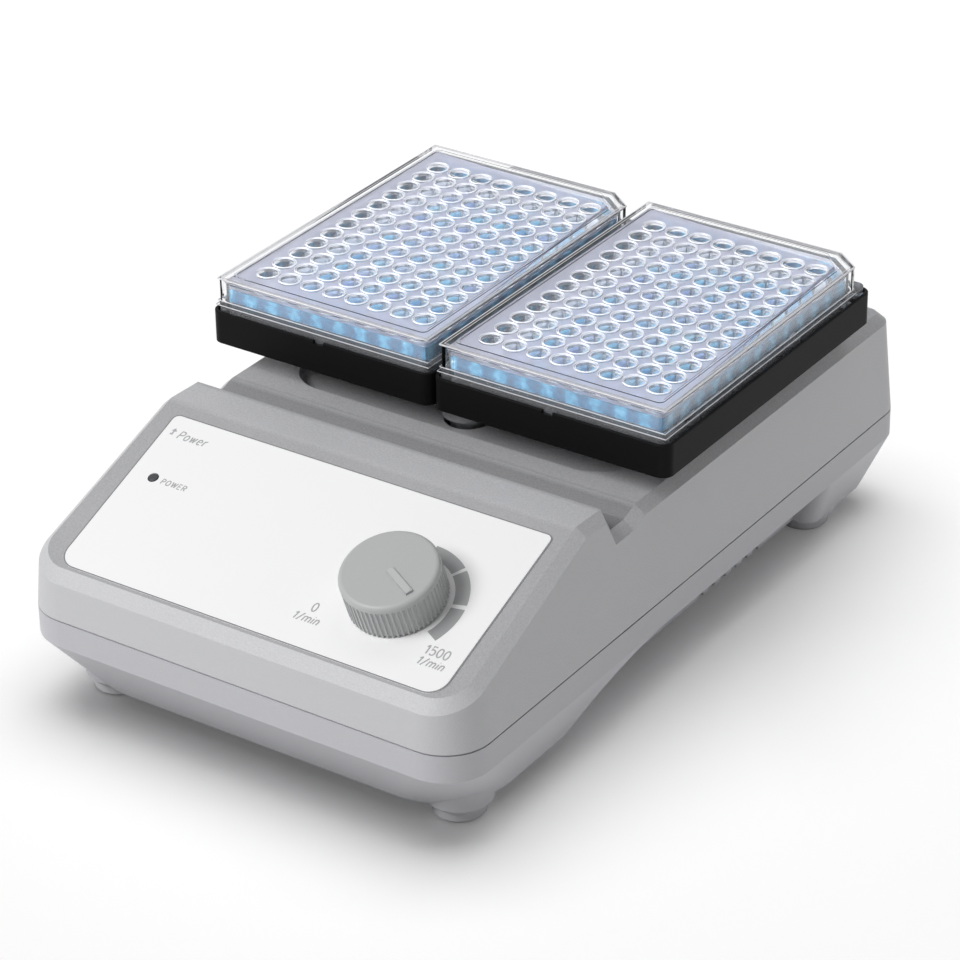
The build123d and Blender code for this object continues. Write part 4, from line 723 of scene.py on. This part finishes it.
class Lettering:
    """Plain single-stroke letters, drawn one unit tall."""

    FEWEST_STEPS = 6
    STEP_DEGREES = 15

    @classmethod
    def bow(cls, centre: Flat, radii: Flat, start: float, stop: float) -> list[Flat]:
        """Points along part of an oval.

        Args:
            centre: The oval's middle.
            radii: Its half width and half height.
            start: First angle in degrees.
            stop: Last angle in degrees.

        Returns:
            The points.
        """
        steps = max(cls.FEWEST_STEPS, round(abs(stop - start) / cls.STEP_DEGREES))
        turns = [math.radians(start + (stop - start) * step / steps) for step in range(steps + 1)]
        return [(centre[0] + radii[0] * math.cos(t), centre[1] + radii[1] * math.sin(t)) for t in turns]

    @staticmethod
    def zigzag(corners: list[Flat]) -> list[list[Flat]]:
        """One straight stroke between each corner and the next.

        Args:
            corners: The corners in order.

        Returns:
            The strokes.
        """
        return [[start, stop] for start, stop in zip(corners, corners[1:])]

    @classmethod
    def strokes(cls, letter: str) -> tuple[float, list[list[Flat]]]:
        """The strokes of one letter.

        Args:
            letter: The letter, digit or sign.

        Returns:
            Its width and its lines of points.
        """
        round_cap = cls.bow((0.32, 0.5), (0.32, 0.5), 90, 450)
        bowl = [(0.0, 0.0), (0.0, 1.0), (0.26, 1.0)] + cls.bow((0.26, 0.74), (0.24, 0.26), 90, -90)
        bowl.append((0.0, 0.48))
        arch = cls.bow((0.2, 0.46), (0.2, 0.24), 180, 0) + [(0.4, 0.0)]
        tail = cls.bow((0.24, 0.32), (0.27, 0.32), 120, -140)
        table = {
            "0": (0.50, [cls.bow((0.25, 0.5), (0.25, 0.5), 90, 450)]),
            "1": (0.30, cls.zigzag([(0.0, 0.76), (0.24, 1.0), (0.24, 0.0)])),
            "5": (0.51, [[(0.46, 1.0), (0.10, 1.0), (0.05, 0.52)] + tail]),
            "/": (0.34, [[(0.0, -0.08), (0.34, 1.04)]]),
            "m": (0.8, [[(0.0, 0.7), (0.0, 0.0)], arch, [(x + 0.4, y) for x, y in arch]]),
            "i": (0.02, [[(0.01, 0.0), (0.01, 0.7)], [(0.01, 0.93), (0.01, 0.99)]]),
            "n": (0.4, [[(0.0, 0.7), (0.0, 0.0)], arch]),
            "P": (0.5, [bowl]),
            "O": (0.64, [round_cap]),
            "W": (0.84, cls.zigzag([(0.0, 1.0), (0.21, 0.0), (0.42, 0.95), (0.63, 0.0), (0.84, 1.0)])),
            "E": (0.46, [[(0.46, 1.0), (0.0, 1.0), (0.0, 0.0), (0.46, 0.0)], [(0.0, 0.52), (0.4, 0.52)]]),
            "R": (0.52, [bowl, [(0.27, 0.48), (0.52, 0.0)]]),
            "o": (0.46, [cls.bow((0.23, 0.35), (0.23, 0.35), 90, 450)]),
            "w": (0.62, cls.zigzag([(0.0, 0.7), (0.155, 0.0), (0.31, 0.66), (0.465, 0.0), (0.62, 0.7)])),
            "e": (0.46, [[(0.02, 0.38), (0.46, 0.38)] + cls.bow((0.23, 0.35), (0.23, 0.35), 5, 310)]),
            "r": (0.28, [[(0.0, 0.7), (0.0, 0.0)], cls.bow((0.24, 0.42), (0.24, 0.28), 180, 80)]),
        }
        return table[letter]

    @classmethod
    def lay(cls, words: str, type_size: TypeSize) -> tuple[list[list[Flat]], float]:
        """Sets letters side by side.

        Args:
            words: What is set.
            type_size: How it is lettered.

        Returns:
            All lines in millimetres, and the line's width.
        """
        lines = []
        run = 0.0
        tall, stretch, slant = type_size.height, type_size.stretch, type_size.slant
        for letter in words:
            width, strokes = cls.strokes(letter)
            for stroke in strokes:
                lines.append([((run + x * stretch + slant * (y - 0.5)) * tall, y * tall) for x, y in stroke])
            run += width * stretch + type_size.gap
        return lines, (run - type_size.gap) * tall


@dataclass
class Panel:
    """The print on the sloping control panel's film."""

    slope: float = math.radians(21.0)
    origin_y: float = -104.0
    origin_z: float = 63.9837
    film: float = 0.3
    lift: float = 0.02
    left: float = -72.0
    right: float = 74.0
    front: float = -28.5
    back: float = 39.3
    back_round: float = 2.5
    front_round: float = 6.5
    edge_line: float = 0.38
    print_base: float = -0.01
    print_top: float = 0.02
    letter_flatness: float = 0.08
    dial_x: float = 41.3
    scale_inner: float = 17.6
    scale_outer: float = 22.3
    scale_arcs: tuple[Flat, ...] = ((54.0, 90.0), (13.5, 50.5), (-27.0, 9.0))
    scale_steps: int = 24

    def place(self, x: float, reach: float, lift: float = 0.0) -> Matrix:
        """A frame on the film's surface.

        Args:
            x: Millimetres to the right of the middle.
            reach: Millimetres up the slope.
            lift: Millimetres above the film.

        Returns:
            The matrix from that frame to the row's.
        """
        run = Vector((0, math.cos(self.slope), math.sin(self.slope)))
        out = Vector((0, -math.sin(self.slope), math.cos(self.slope)))
        spot = Vector((x, self.origin_y, self.origin_z)) + run * reach + out * (self.film + lift)
        matrix = Matrix((Vector((1, 0, 0)), run, out)).transposed().to_4x4()
        matrix.translation = spot * MM
        return matrix

    def outline(self, inset: float, steps: int = 10) -> list[Flat]:
        """The film's outline, drawn in by an inset.

        Args:
            inset: Millimetres from the film's edge.
            steps: Steps round each rounded corner.

        Returns:
            Points of the outline, counter-clockwise.
        """
        line = []
        corners = (
            (self.right, self.front, self.front_round, -90),
            (self.right, self.back, self.back_round, 0),
            (self.left, self.back, self.back_round, 90),
            (self.left, self.front, self.front_round, 180),
        )
        for x, y, radius, start in corners:
            cx = x - math.copysign(radius, x)
            cy = y - math.copysign(radius, y - (self.front + self.back) / 2)
            for step in range(steps + 1):
                angle = math.radians(start + 90 * step / steps)
                reach = radius - inset
                line.append((cx + reach * math.cos(angle), cy + reach * math.sin(angle)))
        return line

    def lettering(self, name: str, words: str, x: float, reach: float, type_size: TypeSize) -> None:
        """Prints words on the film.

        Args:
            name: The piece's name.
            words: What it says.
            x: Its centre, to the right of the middle.
            reach: Its centre, up the slope.
            type_size: How tall, wide and heavy its letters are.
        """
        lines, width = Lettering.lay(words, type_size)
        curve = bpy.data.curves.new(name, "CURVE")
        curve.dimensions = "3D"
        curve.bevel_depth = type_size.stroke / 2 * MM
        curve.bevel_resolution = 2
        curve.use_fill_caps = True
        for line in lines:
            spline = curve.splines.new("POLY")
            spline.points.add(len(line) - 1)
            for point, (px, py) in zip(spline.points, line):
                point.co = ((px - width / 2) * MM, (py - type_size.height / 2) * MM, 0, 1)
        source = stand(name + "_curve", curve)
        bpy.context.view_layer.update()
        evaluated = source.evaluated_get(bpy.context.evaluated_depsgraph_get())
        mesh = bpy.data.meshes.new_from_object(evaluated)
        bpy.data.objects.remove(source)
        mesh.transform(Matrix.Scale(self.letter_flatness, 4, (0, 0, 1)))
        mesh.materials.clear()
        mesh.materials.append(PRINT.material())
        mesh.name = name
        Piece.settle(name, mesh, "base", self.place(x, reach, self.lift))

    def build_print(self) -> None:
        """Prints the words, the line round the film's edge and the arrow beside the last word."""
        number = TypeSize(3.3, 1.0, 0.5, 0.0, 0.24)
        unit = TypeSize(2.8, 1.06, 0.46, 0.22, 0.32)
        lamp_word = TypeSize(2.05, 1.04, 0.40, 0.12, 0.38)
        switch_word = TypeSize(3.1, 1.04, 0.46, 0.22, 0.28)
        self.lettering("print_low_number", "0", 18.6, -12.9, number)
        self.lettering("print_low_unit", "1/min", 18.4, -17.5, unit)
        self.lettering("print_high_number", "1500", 64.4, -13.8, number)
        self.lettering("print_high_unit", "1/min", 64.8, -18.2, unit)
        self.lettering("print_lamp_word", "POWER", -54.2, 12.8, lamp_word)
        self.lettering("print_switch_word", "Power", -59.7, 31.8, switch_word)
        inner, outer = self.outline(self.edge_line), self.outline(0.0)
        line = Piece.ring_strip(inner, outer, self.print_base, self.print_top)
        Piece.mesh("print_edge_line", line, "base", EDGE_PRINT, place=self.place(0, 0, self.lift))
        stem = [(-0.9, -1.3), (0.2, -1.3), (0.2, 0.3)]
        tip = [(0.9, 0.3), (-0.1, 1.6), (-1.1, 0.3)]
        back = [(-0.4, 0.3), (-0.4, -0.7), (-0.9, -0.7)]
        arrow = Piece.slab(stem + tip + back, self.print_base, self.print_top)
        Piece.mesh("print_arrow", arrow, "base", PRINT, place=self.place(-67.9, 32.2, self.lift))

    def build_scale(self) -> None:
        """Prints the dial's three arcs."""
        place = self.place(self.dial_x, 0, self.lift)
        steps = self.scale_steps
        span = steps + 1
        for index, (low, high) in enumerate(self.scale_arcs):
            turns = [math.radians(low + (high - low) * step / steps) for step in range(span)]
            points = [
                (radius * math.cos(turn), radius * math.sin(turn), z)
                for z in (self.print_base, self.print_top)
                for radius in (self.scale_inner, self.scale_outer)
                for turn in turns
            ]
            faces = []
            for i in range(steps):
                a, b, c, d = i, i + span, i + 2 * span, i + 3 * span
                faces += [(a, a + 1, b + 1, b), (c, d, d + 1, c + 1)]
                faces += [(b, b + 1, d + 1, d), (a, c, c + 1, a + 1)]
            faces.append((0, span, 3 * span, 2 * span))
            faces.append((steps, steps + 2 * span, steps + 3 * span, steps + span))
            Piece.mesh(f"scale_arc_{index + 1}", (points, faces), "base", DIAL_PRINT, place=place)


@dataclass
class Knob:
    """The speed knob's pointer face, on top of the moulded bar."""

    panel: Panel
    top: float = 14.7
    start: float = 0.7
    length: float = 12.0
    width: float = 2.0
    angle: float = math.radians(-27.0)
    sunk: float = -0.02
    proud: float = 0.05
    end_steps: int = 12

    def build(self) -> None:
        """Makes the paler face of the pointer with rounded ends."""
        half = self.width / 2
        outline = []
        for centre, first in ((self.start + self.length - half, -90), (self.start + half, 90)):
            for step in range(self.end_steps + 1):
                turn = math.radians(first + 180 * step / self.end_steps)
                outline.append((centre + half * math.cos(turn), half * math.sin(turn)))
        cos, sin = math.cos(self.angle), math.sin(self.angle)
        turned = [(x * cos - y * sin, x * sin + y * cos) for x, y in outline]
        place = self.panel.place(self.panel.dial_x, 0, self.top - self.panel.film)
        Piece.mesh("pointer_face", Piece.slab(turned, self.sunk, self.proud), "knob", POINTER, place=place)


class Side(Enum):
    """The two plates, by their side of the instrument."""

    LEFT = -1
    RIGHT = 1


@dataclass(frozen=True)
class Ring:
    """A rounded ring that stands round each well, as a painted highlight or as painted shade on its collar,
    in millimetres.
    """

    label: str
    radius: float
    above_deck: float
    half_width: float
    half_height: float
    finish: Finish


@dataclass(frozen=True)
class Band:
    """A closed band round a plate or its lid, in millimetres.

    Its outer outline has the given half width and half length, moved out by the outset.
    """

    label: str
    body: str
    half: Flat
    outset: float
    width: float
    base: float
    top: float
    finish: Finish


WALL_HALF: Flat = (40.64, 61.78)
FLANGE_HALF: Flat = (42.74, 63.88)
LID_HALF: Flat = (42.19, 63.33)
# The two pale rings round each well are painted highlights, and the dark ring between them is painted shade.
RINGS = (
    Ring("well_rim_highlights", 3.98, 0.55, 0.085, 0.2, RIM_HIGHLIGHT),
    Ring("well_lip_highlights", 3.50, 0.45, 0.09, 0.12, RIM_HIGHLIGHT),
    Ring("well_shades", 3.76, 0.40, 0.07, 0.08, RING_SHADE),
)
# The blue band carries painted highlights, the pale flange and lid lines are painted highlights, and the
# dark lid line is painted shade.
BANDS = (
    Band("tube_blue_highlights", "plate", WALL_HALF, -1.35, 0.1, 96.6, 101.1, TUBE_BLUE_HIGHLIGHTS),
    Band("wall_frost", "plate", WALL_HALF, -1.35, 0.1, 101.3, 102.55, DECK_FROST),
    Band("flange_line", "plate", FLANGE_HALF, 0.03, 0.02, 95.76, 96.1, LID_EDGE_HIGHLIGHT),
    Band("lid_top_line", "lid", LID_HALF, 0.01, 0.42, 105.5, 105.55, LID_EDGE_HIGHLIGHT),
    Band("lid_inner_line", "lid", LID_HALF, -1.15, 0.3, 105.5, 105.55, LID_EDGE_HIGHLIGHT),
    Band("lid_dark_line", "lid", LID_HALF, -0.8, 0.12, 105.5, 105.54, LID_EDGE_SHADE),
    Band("lid_upper_edge", "lid", LID_HALF, 0.03, 0.02, 105.1, 105.5, LID_EDGE_HIGHLIGHT),
    Band("lid_lower_edge", "lid", LID_HALF, 0.03, 0.02, 97.2, 97.58, LID_EDGE_HIGHLIGHT),
)


@dataclass
class WellPlate:
    """One lidded well plate: its well rings of painted highlight and shade, its liquid, its films, and its
    edge lines of painted highlight and shade.
    """

    side: Side
    centre_x: float = 44.44
    centre_y: float = 38.8
    pitch: float = 9.0
    columns: int = 8
    rows: int = 12
    well: float = 3.43
    well_gap: float = 0.05
    tube: float = 4.05
    tube_gap: float = 0.02
    deck: float = 103.45
    floor: float = 92.95
    floor_gap: float = 0.02
    floor_round: float = 0.3
    liquid: float = 5.6
    meniscus: float = 0.55
    meniscus_shares: tuple[float, ...] = (0.93, 0.8, 0.6, 0.35, 0.1)
    segments: int = 28
    ring_steps: int = 8
    film: float = 0.06
    film_gap: float = 0.01
    film_inset: float = 0.1
    film_corner: float = 6.0
    corner_cut: Flat = (9.0, 7.0)
    cut_share: float = 0.5

    @property
    def name(self) -> str:
        """The side's name, as the CAD nodes use it."""
        return self.side.name.lower()

    @property
    def middle(self) -> Flat:
        """The plate's middle in plan."""
        return self.side.value * self.centre_x, self.centre_y

    def make(
        self, label: str, shape: Shape, finish: Finish, body: str = "plate", smooth: bool = False
    ) -> bpy.types.Object:
        """Makes one of this plate's pieces.

        Args:
            label: The piece's name after the side.
            shape: Its points and faces.
            finish: Its finish.
            body: Whether it rides on the plate or the lid.
            smooth: Whether its faces are shaded smooth.

        Returns:
            The piece.
        """
        return Piece.mesh(f"{self.name}_{label}", shape, f"{self.name}_{body}", finish, smooth)

    def centres(self) -> list[Flat]:
        """The middles of the wells.

        Returns:
            Their places in plan.
        """
        x0 = self.middle[0] - self.pitch * (self.columns - 1) / 2
        y0 = self.middle[1] - self.pitch * (self.rows - 1) / 2
        spots = [(column, row) for row in range(self.rows) for column in range(self.columns)]
        return [(x0 + self.pitch * column, y0 + self.pitch * row) for column, row in spots]

    def lathe(self, profile: list[Flat], closed: bool) -> Shape:
        """Turns a profile round every well's axis.

        Args:
            profile: Radius and height of each point.
            closed: Whether the last point joins the first.

        Returns:
            Points and faces for all wells.
        """
        points: list[Point] = []
        faces: list[Face] = []
        for centre in self.centres():
            base = len(points)
            for radius, z in profile:
                points += [(x, y, z) for x, y in Piece.circle(radius, self.segments, centre)]
            bands = len(profile) if closed else len(profile) - 1
            for band in range(bands):
                a = base + band * self.segments
                b = base + (band + 1) % len(profile) * self.segments
                for k in range(self.segments):
                    m = (k + 1) % self.segments
                    faces.append((a + k, a + m, b + m, b + k))
            if not closed:
                faces.append(tuple(base + k for k in reversed(range(self.segments))))
                last = base + (len(profile) - 1) * self.segments
                faces.append(tuple(last + k for k in range(self.segments)))
        return points, faces

    def build_ring(self, ring: Ring) -> None:
        """Makes one rounded ring round each well.

        Args:
            ring: The ring's measures and finish.
        """
        height = self.deck + ring.above_deck
        profile = [
            (ring.radius + ring.half_width * x, height + ring.half_height * z)
            for x, z in Piece.circle(1.0, self.ring_steps)
        ]
        self.make(ring.label, self.lathe(profile, True), ring.finish, smooth=True)

    def cut_outline(self, half: Flat, cut: Flat) -> list[Flat]:
        """An outline about the plate's middle, cut at its back right corner.

        Args:
            half: Half its width and half its length.
            cut: How much is cut off, across and along.

        Returns:
            Its five points.
        """
        line = Piece.rectangle(self.middle, half)
        x, y = line[2]
        line[2:3] = [(x, y - cut[1]), (x - cut[0], y)]
        return line

    def build_band(self, band: Band) -> None:
        """Makes one closed band round the plate or its lid.

        Args:
            band: The band's measures, finish and body.
        """
        wide, long = band.half[0] + band.outset, band.half[1] + band.outset
        less = band.width * self.cut_share
        outer = self.cut_outline((wide, long), self.corner_cut)
        inner = self.cut_outline(
            (wide - band.width, long - band.width), (self.corner_cut[0] - less, self.corner_cut[1] - less)
        )
        self.make(band.label, Piece.ring_strip(inner, outer, band.base, band.top), band.finish, band.body)

    def build_liquid(self) -> None:
        """Makes the liquid with its surface drawn up at the wells' walls."""
        radius = self.well - self.well_gap
        surface = self.floor + self.liquid
        profile = [(radius - self.floor_round, self.floor + self.floor_gap)]
        profile += [(radius, self.floor + self.floor_round), (radius, surface)]
        profile += [
            (radius * share, surface - self.meniscus * (1 - share**4)) for share in self.meniscus_shares
        ]
        corner = (
            (self.middle[0] - self.pitch * self.columns / 2) * MM,
            (self.middle[1] - self.pitch * self.rows / 2) * MM,
            0.0,
        )
        finish = SampleFinish(
            f"{self.name}_sample",
            roughness=0.10, transmission=0.12, ior=1.34, coat=0.3, corner=corner, look=Look.CLEAR,
        )
        piece = self.make("liquid", self.lathe(profile, False), finish, smooth=True)
        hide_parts(f"{self.name}_samples")

    def build_deck(self) -> None:
        """Makes the frosted film that the deck shows between its wells."""
        cell = self.pitch / 2
        n = self.segments
        hole = Piece.circle(self.tube + self.tube_gap, n, first=0.5)
        square = []
        for x, y in Piece.circle(1.0, n, first=0.5):
            stretch = cell / max(abs(x), abs(y))
            square.append((stretch * x, stretch * y))
        points: list[Point] = []
        faces: list[Face] = []
        low = self.deck + self.film_gap
        high = low + self.film
        for cx, cy in self.centres():
            base = len(points)
            points += [(cx + x, cy + y, z) for z in (low, high) for x, y in hole + square]
            for k in range(n):
                a, b = base + k, base + (k + 1) % n
                faces.append((a + 2 * n, a + 3 * n, b + 3 * n, b + 2 * n))
                faces.append((a, b, b + n, a + n))
                faces.append((a, a + 2 * n, b + 2 * n, b))
        inner = Piece.rectangle(self.middle, (cell * self.columns, cell * self.rows))
        edge = (WALL_HALF[0] - self.film_inset, WALL_HALF[1] - self.film_inset)
        outer = Piece.rectangle(self.middle, edge)
        outer[2] = (outer[2][0] - self.film_corner, outer[2][1] - self.film_corner)
        base = len(points)
        strip_points, strip_faces = Piece.ring_strip(inner, outer, low, high)
        points += strip_points
        faces += [tuple(base + i for i in face) for face in strip_faces]
        self.make("deck_film", (points, faces), DECK_FROST)

    def build(self) -> None:
        """Makes all of the plate's own pieces."""
        for ring in RINGS:
            self.build_ring(ring)
        self.build_liquid()
        self.build_deck()
        for band in BANDS:
            self.build_band(band)


@dataclass
class PowerEntry:
    """The marks on the rocker at the back."""

    x: float = -52.5
    pivot_y: float = 132.2
    pivot_z: float = 53.0
    reach: float = 2.1
    half: float = 4.6
    tilt: float = math.radians(8.0)
    lean: float = math.atan2(1.0, 7.6)
    gap: float = 0.08
    proud: float = 0.06
    bar_half: Flat = (0.3, 1.5)
    ring_radii: Flat = (1.15, 1.65)
    ring_steps: int = 24

    def bar(self) -> Shape:
        """The bar, flat against the face it marks.

        Returns:
            Its points and faces.
        """
        corners = Piece.rectangle((0.0, 0.0), self.bar_half)
        points = [(x, y, z) for y in (0.0, self.proud) for x, z in corners]
        faces = [(0, 1, 2, 3), (7, 6, 5, 4), (0, 4, 5, 1), (1, 5, 6, 2), (2, 6, 7, 3), (3, 7, 4, 0)]
        return points, faces

    def ring(self) -> Shape:
        """The ring, flat against the face it marks.

        Returns:
            Its points and faces.
        """
        inner, outer = (Piece.circle(radius, self.ring_steps) for radius in self.ring_radii)
        flat, faces = Piece.ring_strip(inner, outer, 0.0, self.proud)
        return [(x, z, y) for x, y, z in flat], faces

    def build(self) -> None:
        """Makes the bar and the ring on the rocker's two faces."""
        pivot = Vector((self.x, self.pivot_y, self.pivot_z))
        for name, sign, shape in (("mark_on", 1, self.bar()), ("mark_off", -1, self.ring())):
            place = Matrix.Rotation(sign * self.lean - self.tilt, 4, "X")
            out = Vector((0, self.reach + self.gap, sign * self.half))
            place.translation = (pivot + Matrix.Rotation(-self.tilt, 4, "X") @ out) * MM
            Piece.mesh(name, shape, "rocker", MARK, place=place)


DRESSED: dict[Finish, tuple[str, ...]] = {
    SHELL: ("upper_housing",),
    LOWER_SHELL: ("lower_housing",),
    LABEL: ("control_label",),
    LAMP: ("power_lamp",),
    RUBBER: ("rubber_feet",),
    KNOB: ("speed_knob",),
    TRAY: ("left_tray", "right_tray"),
    PLATE_CLEAR: ("left_well_plate", "right_well_plate", "left_samples", "right_samples"),
    LID_CLEAR: ("left_plate_lid", "right_plate_lid"),
    PLATFORM_PAINT: ("platform",),
    ALUMINIUM: ("chassis_plate", "transformer_bracket"),
    MOTOR_PAINT: ("motor_housing",),
    LAMINATION: ("motor_stator", "motor_rotor", "transformer_core"),
    COPPER: ("motor_winding", "transformer_winding"),
    CHROME: ("motor_bearings", "bearing_inner_ring", "bearing_outer_ring", "bearing_balls"),
    BRONZE: ("idler_bushes", "platform_bushes"),
    BRASS: ("counterweight",),
    BOARD: ("control_board",),
    CAPACITOR: ("board_capacitors",),
    HEAT_SINK: ("heat_sink",),
    POT_BODY: ("speed_potentiometer",),
    BLACK_PLASTIC: ("power_inlet", "fuse_drawer"),
    ROCKER: ("switch_bezel", "switch_rocker"),
    FUSE: ("fuses",),
}


class Dressing:
    """The finishes of the carried-over CAD nodes."""

    finishes = {node: finish for finish, nodes in DRESSED.items() for node in nodes}

    def choose(self, node: str) -> Finish:
        """The finish of a node.

        Args:
            node: The CAD node's name.

        Returns:
            Its finish: plated steel on screws, and ground steel on pins, cranks and the rest.
        """
        if node in self.finishes:
            return self.finishes[node]
        return ZINC if node.endswith(("screw", "screws")) else STEEL

    def dress(self) -> None:
        """Gives each CAD node its finish."""
        for node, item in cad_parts.items():
            finish = self.choose(node)
            for slot in item.material_slots:
                slot.material = finish.material()
            log.info("node %s in %s", node, finish.name)


@dataclass(frozen=True)
class Softbox:
    """A square lamp that looks at the instrument.

    Its azimuth and elevation are in degrees, its distance and size in metres. Its share is the
    brightness that it gives a white face square to it.
    """

    name: str
    azimuth: float
    elevation: float
    distance: float
    size: float
    share: float
    floor_only: bool = False


SOFTBOXES = (
    Softbox("object_box_1", -116.0, 44.0, 1.5, 0.7, 0.73),
    Softbox("object_box_2", 70.0, 74.0, 1.5, 0.8, 0.10),
    Softbox("object_box_3", 8.0, 20.0, 1.9, 1.0, 0.03),
    Softbox("floor_box_1", 132.0, 83.0, 1.6, 1.7, 1.12, floor_only=True),
)


@dataclass
class Studio:
    """The floor, the lamps and the camera."""

    eye: Point = (608.99858, -888.19247, 647.05985)
    right: Point = (0.82905438, 0.5590105, -0.01326993)
    up: Point = (-0.26371065, 0.41180898, 0.87227866)
    back: Point = (0.49307761, -0.71966702, 0.48882906)
    aim: Point = (0.0, 0.0, 50.0)
    lens: float = 139.7445
    sensor: float = 36.0
    farthest: float = 50.0
    day: float = 0.18
    floor_half: float = 9.0
    floor_grey: float = 0.97
    floor_roughness: float = 0.9
    floor_glow: float = 0.07
    paper_span: Flat = (0.28, 0.95)
    paper_glow: float = 0.9

    def build_camera(self) -> None:
        """Stands the camera where the photograph was taken from."""
        data = bpy.data.cameras.new("camera")
        data.lens = self.lens
        data.sensor_width = self.sensor
        data.clip_end = self.farthest
        turn = Matrix((self.right, self.up, self.back)).transposed().to_4x4()
        turn.translation = Vector(self.eye) * MM
        bpy.context.scene.camera = stand("camera", data, turn)

    def floor_material(self) -> bpy.types.Material:
        """The paper of the floor, which is brighter to the camera far from the object.

        Returns:
            The material.
        """
        material = bpy.data.materials.new("floor_paper")
        material.use_nodes = True
        wiring = Wiring(material.node_tree)
        spot = wiring.add("ShaderNodeTexCoord").outputs["Object"]
        reach = wiring.add("ShaderNodeVectorMath", {0: spot}, operation="LENGTH").outputs["Value"]
        far = wiring.rise(reach, self.paper_span, (0.0, self.paper_glow))
        camera_ray = wiring.add("ShaderNodeLightPath").outputs["Is Camera Ray"]
        distant = wiring.maths("MULTIPLY", far, camera_ray)
        inputs = {
            "Base Color": (self.floor_grey, self.floor_grey, self.floor_grey, 1),
            "Roughness": self.floor_roughness,
            "Specular IOR Level": 0.0,
            "Emission Color": (1, 1, 1, 1),
            "Emission Strength": wiring.maths("ADD", self.seen(wiring, self.floor_glow), distant),
        }
        wiring.feed(wiring.shader, inputs)
        return material

    def build_floor(self) -> bpy.types.Object:
        """Lays the pale floor, which keeps the object's shadow.

        Returns:
            The floor.
        """
        half = self.floor_half
        corners = [(x, y, 0.0) for x, y in Piece.rectangle((0.0, 0.0), (half, half))]
        mesh = bpy.data.meshes.new("floor")
        mesh.from_pydata(corners, [], [(0, 1, 2, 3)])
        floor = stand("floor", mesh)
        mesh.materials.append(self.floor_material())
        return floor

    def seen(self, wiring: Wiring, strength: float) -> bpy.types.NodeSocket:
        """A strength for what the camera, a gloss or a clear piece sees.

        Args:
            wiring: The tree's wiring.
            strength: The value on those rays.

        Returns:
            A socket that is zero on all other rays.
        """
        path = wiring.add("ShaderNodeLightPath").outputs
        either = wiring.maths("MAXIMUM", path["Is Camera Ray"], path["Is Glossy Ray"])
        any_ray = wiring.maths("MAXIMUM", either, path["Is Transmission Ray"])
        return wiring.maths("MULTIPLY", any_ray, strength)

    def build_world(self) -> None:
        """Sets the soft light from all round, and the white that the camera sees."""
        world = bpy.data.worlds.new("studio")
        bpy.context.scene.world = world
        world.use_nodes = True
        wiring = Wiring(world.node_tree)
        strength = wiring.maths("ADD", self.seen(wiring, 1.0 - self.day), self.day)
        wiring.feed(world.node_tree.nodes["Background"], {"Color": (1, 1, 1, 1), "Strength": strength})

    def build_lamp(self, box: Softbox, floor: bpy.types.Object) -> None:
        """Hangs one softbox, either for the floor or for all but the floor.

        Args:
            box: Where the softbox hangs, how large it is and how much light it gives.
            floor: The floor.
        """
        data = bpy.data.lights.new(box.name, "AREA")
        data.shape = "SQUARE"
        data.size = box.size
        data.energy = box.share * math.pi**2 * box.distance**2
        turn, rise = math.radians(box.azimuth), math.radians(box.elevation)
        way = Vector((math.cos(rise) * math.cos(turn), math.cos(rise) * math.sin(turn), math.sin(rise)))
        spot = Matrix.Translation(Vector(self.aim) * MM + way * box.distance)
        lamp = stand(box.name, data, spot @ way.to_track_quat("Z", "Y").to_matrix().to_4x4())
        group = bpy.data.collections.new(box.name + "_receivers")
        group.objects.link(floor)
        lamp.light_linking.receiver_collection = group
        if not box.floor_only:
            group.collection_objects[0].light_linking.link_state = "EXCLUDE"

    def build(self) -> None:
        """Makes the camera, the floor and the light."""
        self.build_camera()
        floor = self.build_floor()
        self.build_world()
        for box in SOFTBOXES:
            self.build_lamp(box, floor)
        bpy.context.scene.view_settings.view_transform = "Standard"


def main() -> None:
    """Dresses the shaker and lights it."""
    logging.basicConfig(level=logging.INFO, format="%(message)s")
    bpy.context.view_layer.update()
    Dressing().dress()
    panel = Panel()
    panel.build_print()
    panel.build_scale()
    Knob(panel).build()
    for side in Side:
        WellPlate(side).build()
    PowerEntry().build()
    Studio().build()


if __name__ == "__main__":
    main()
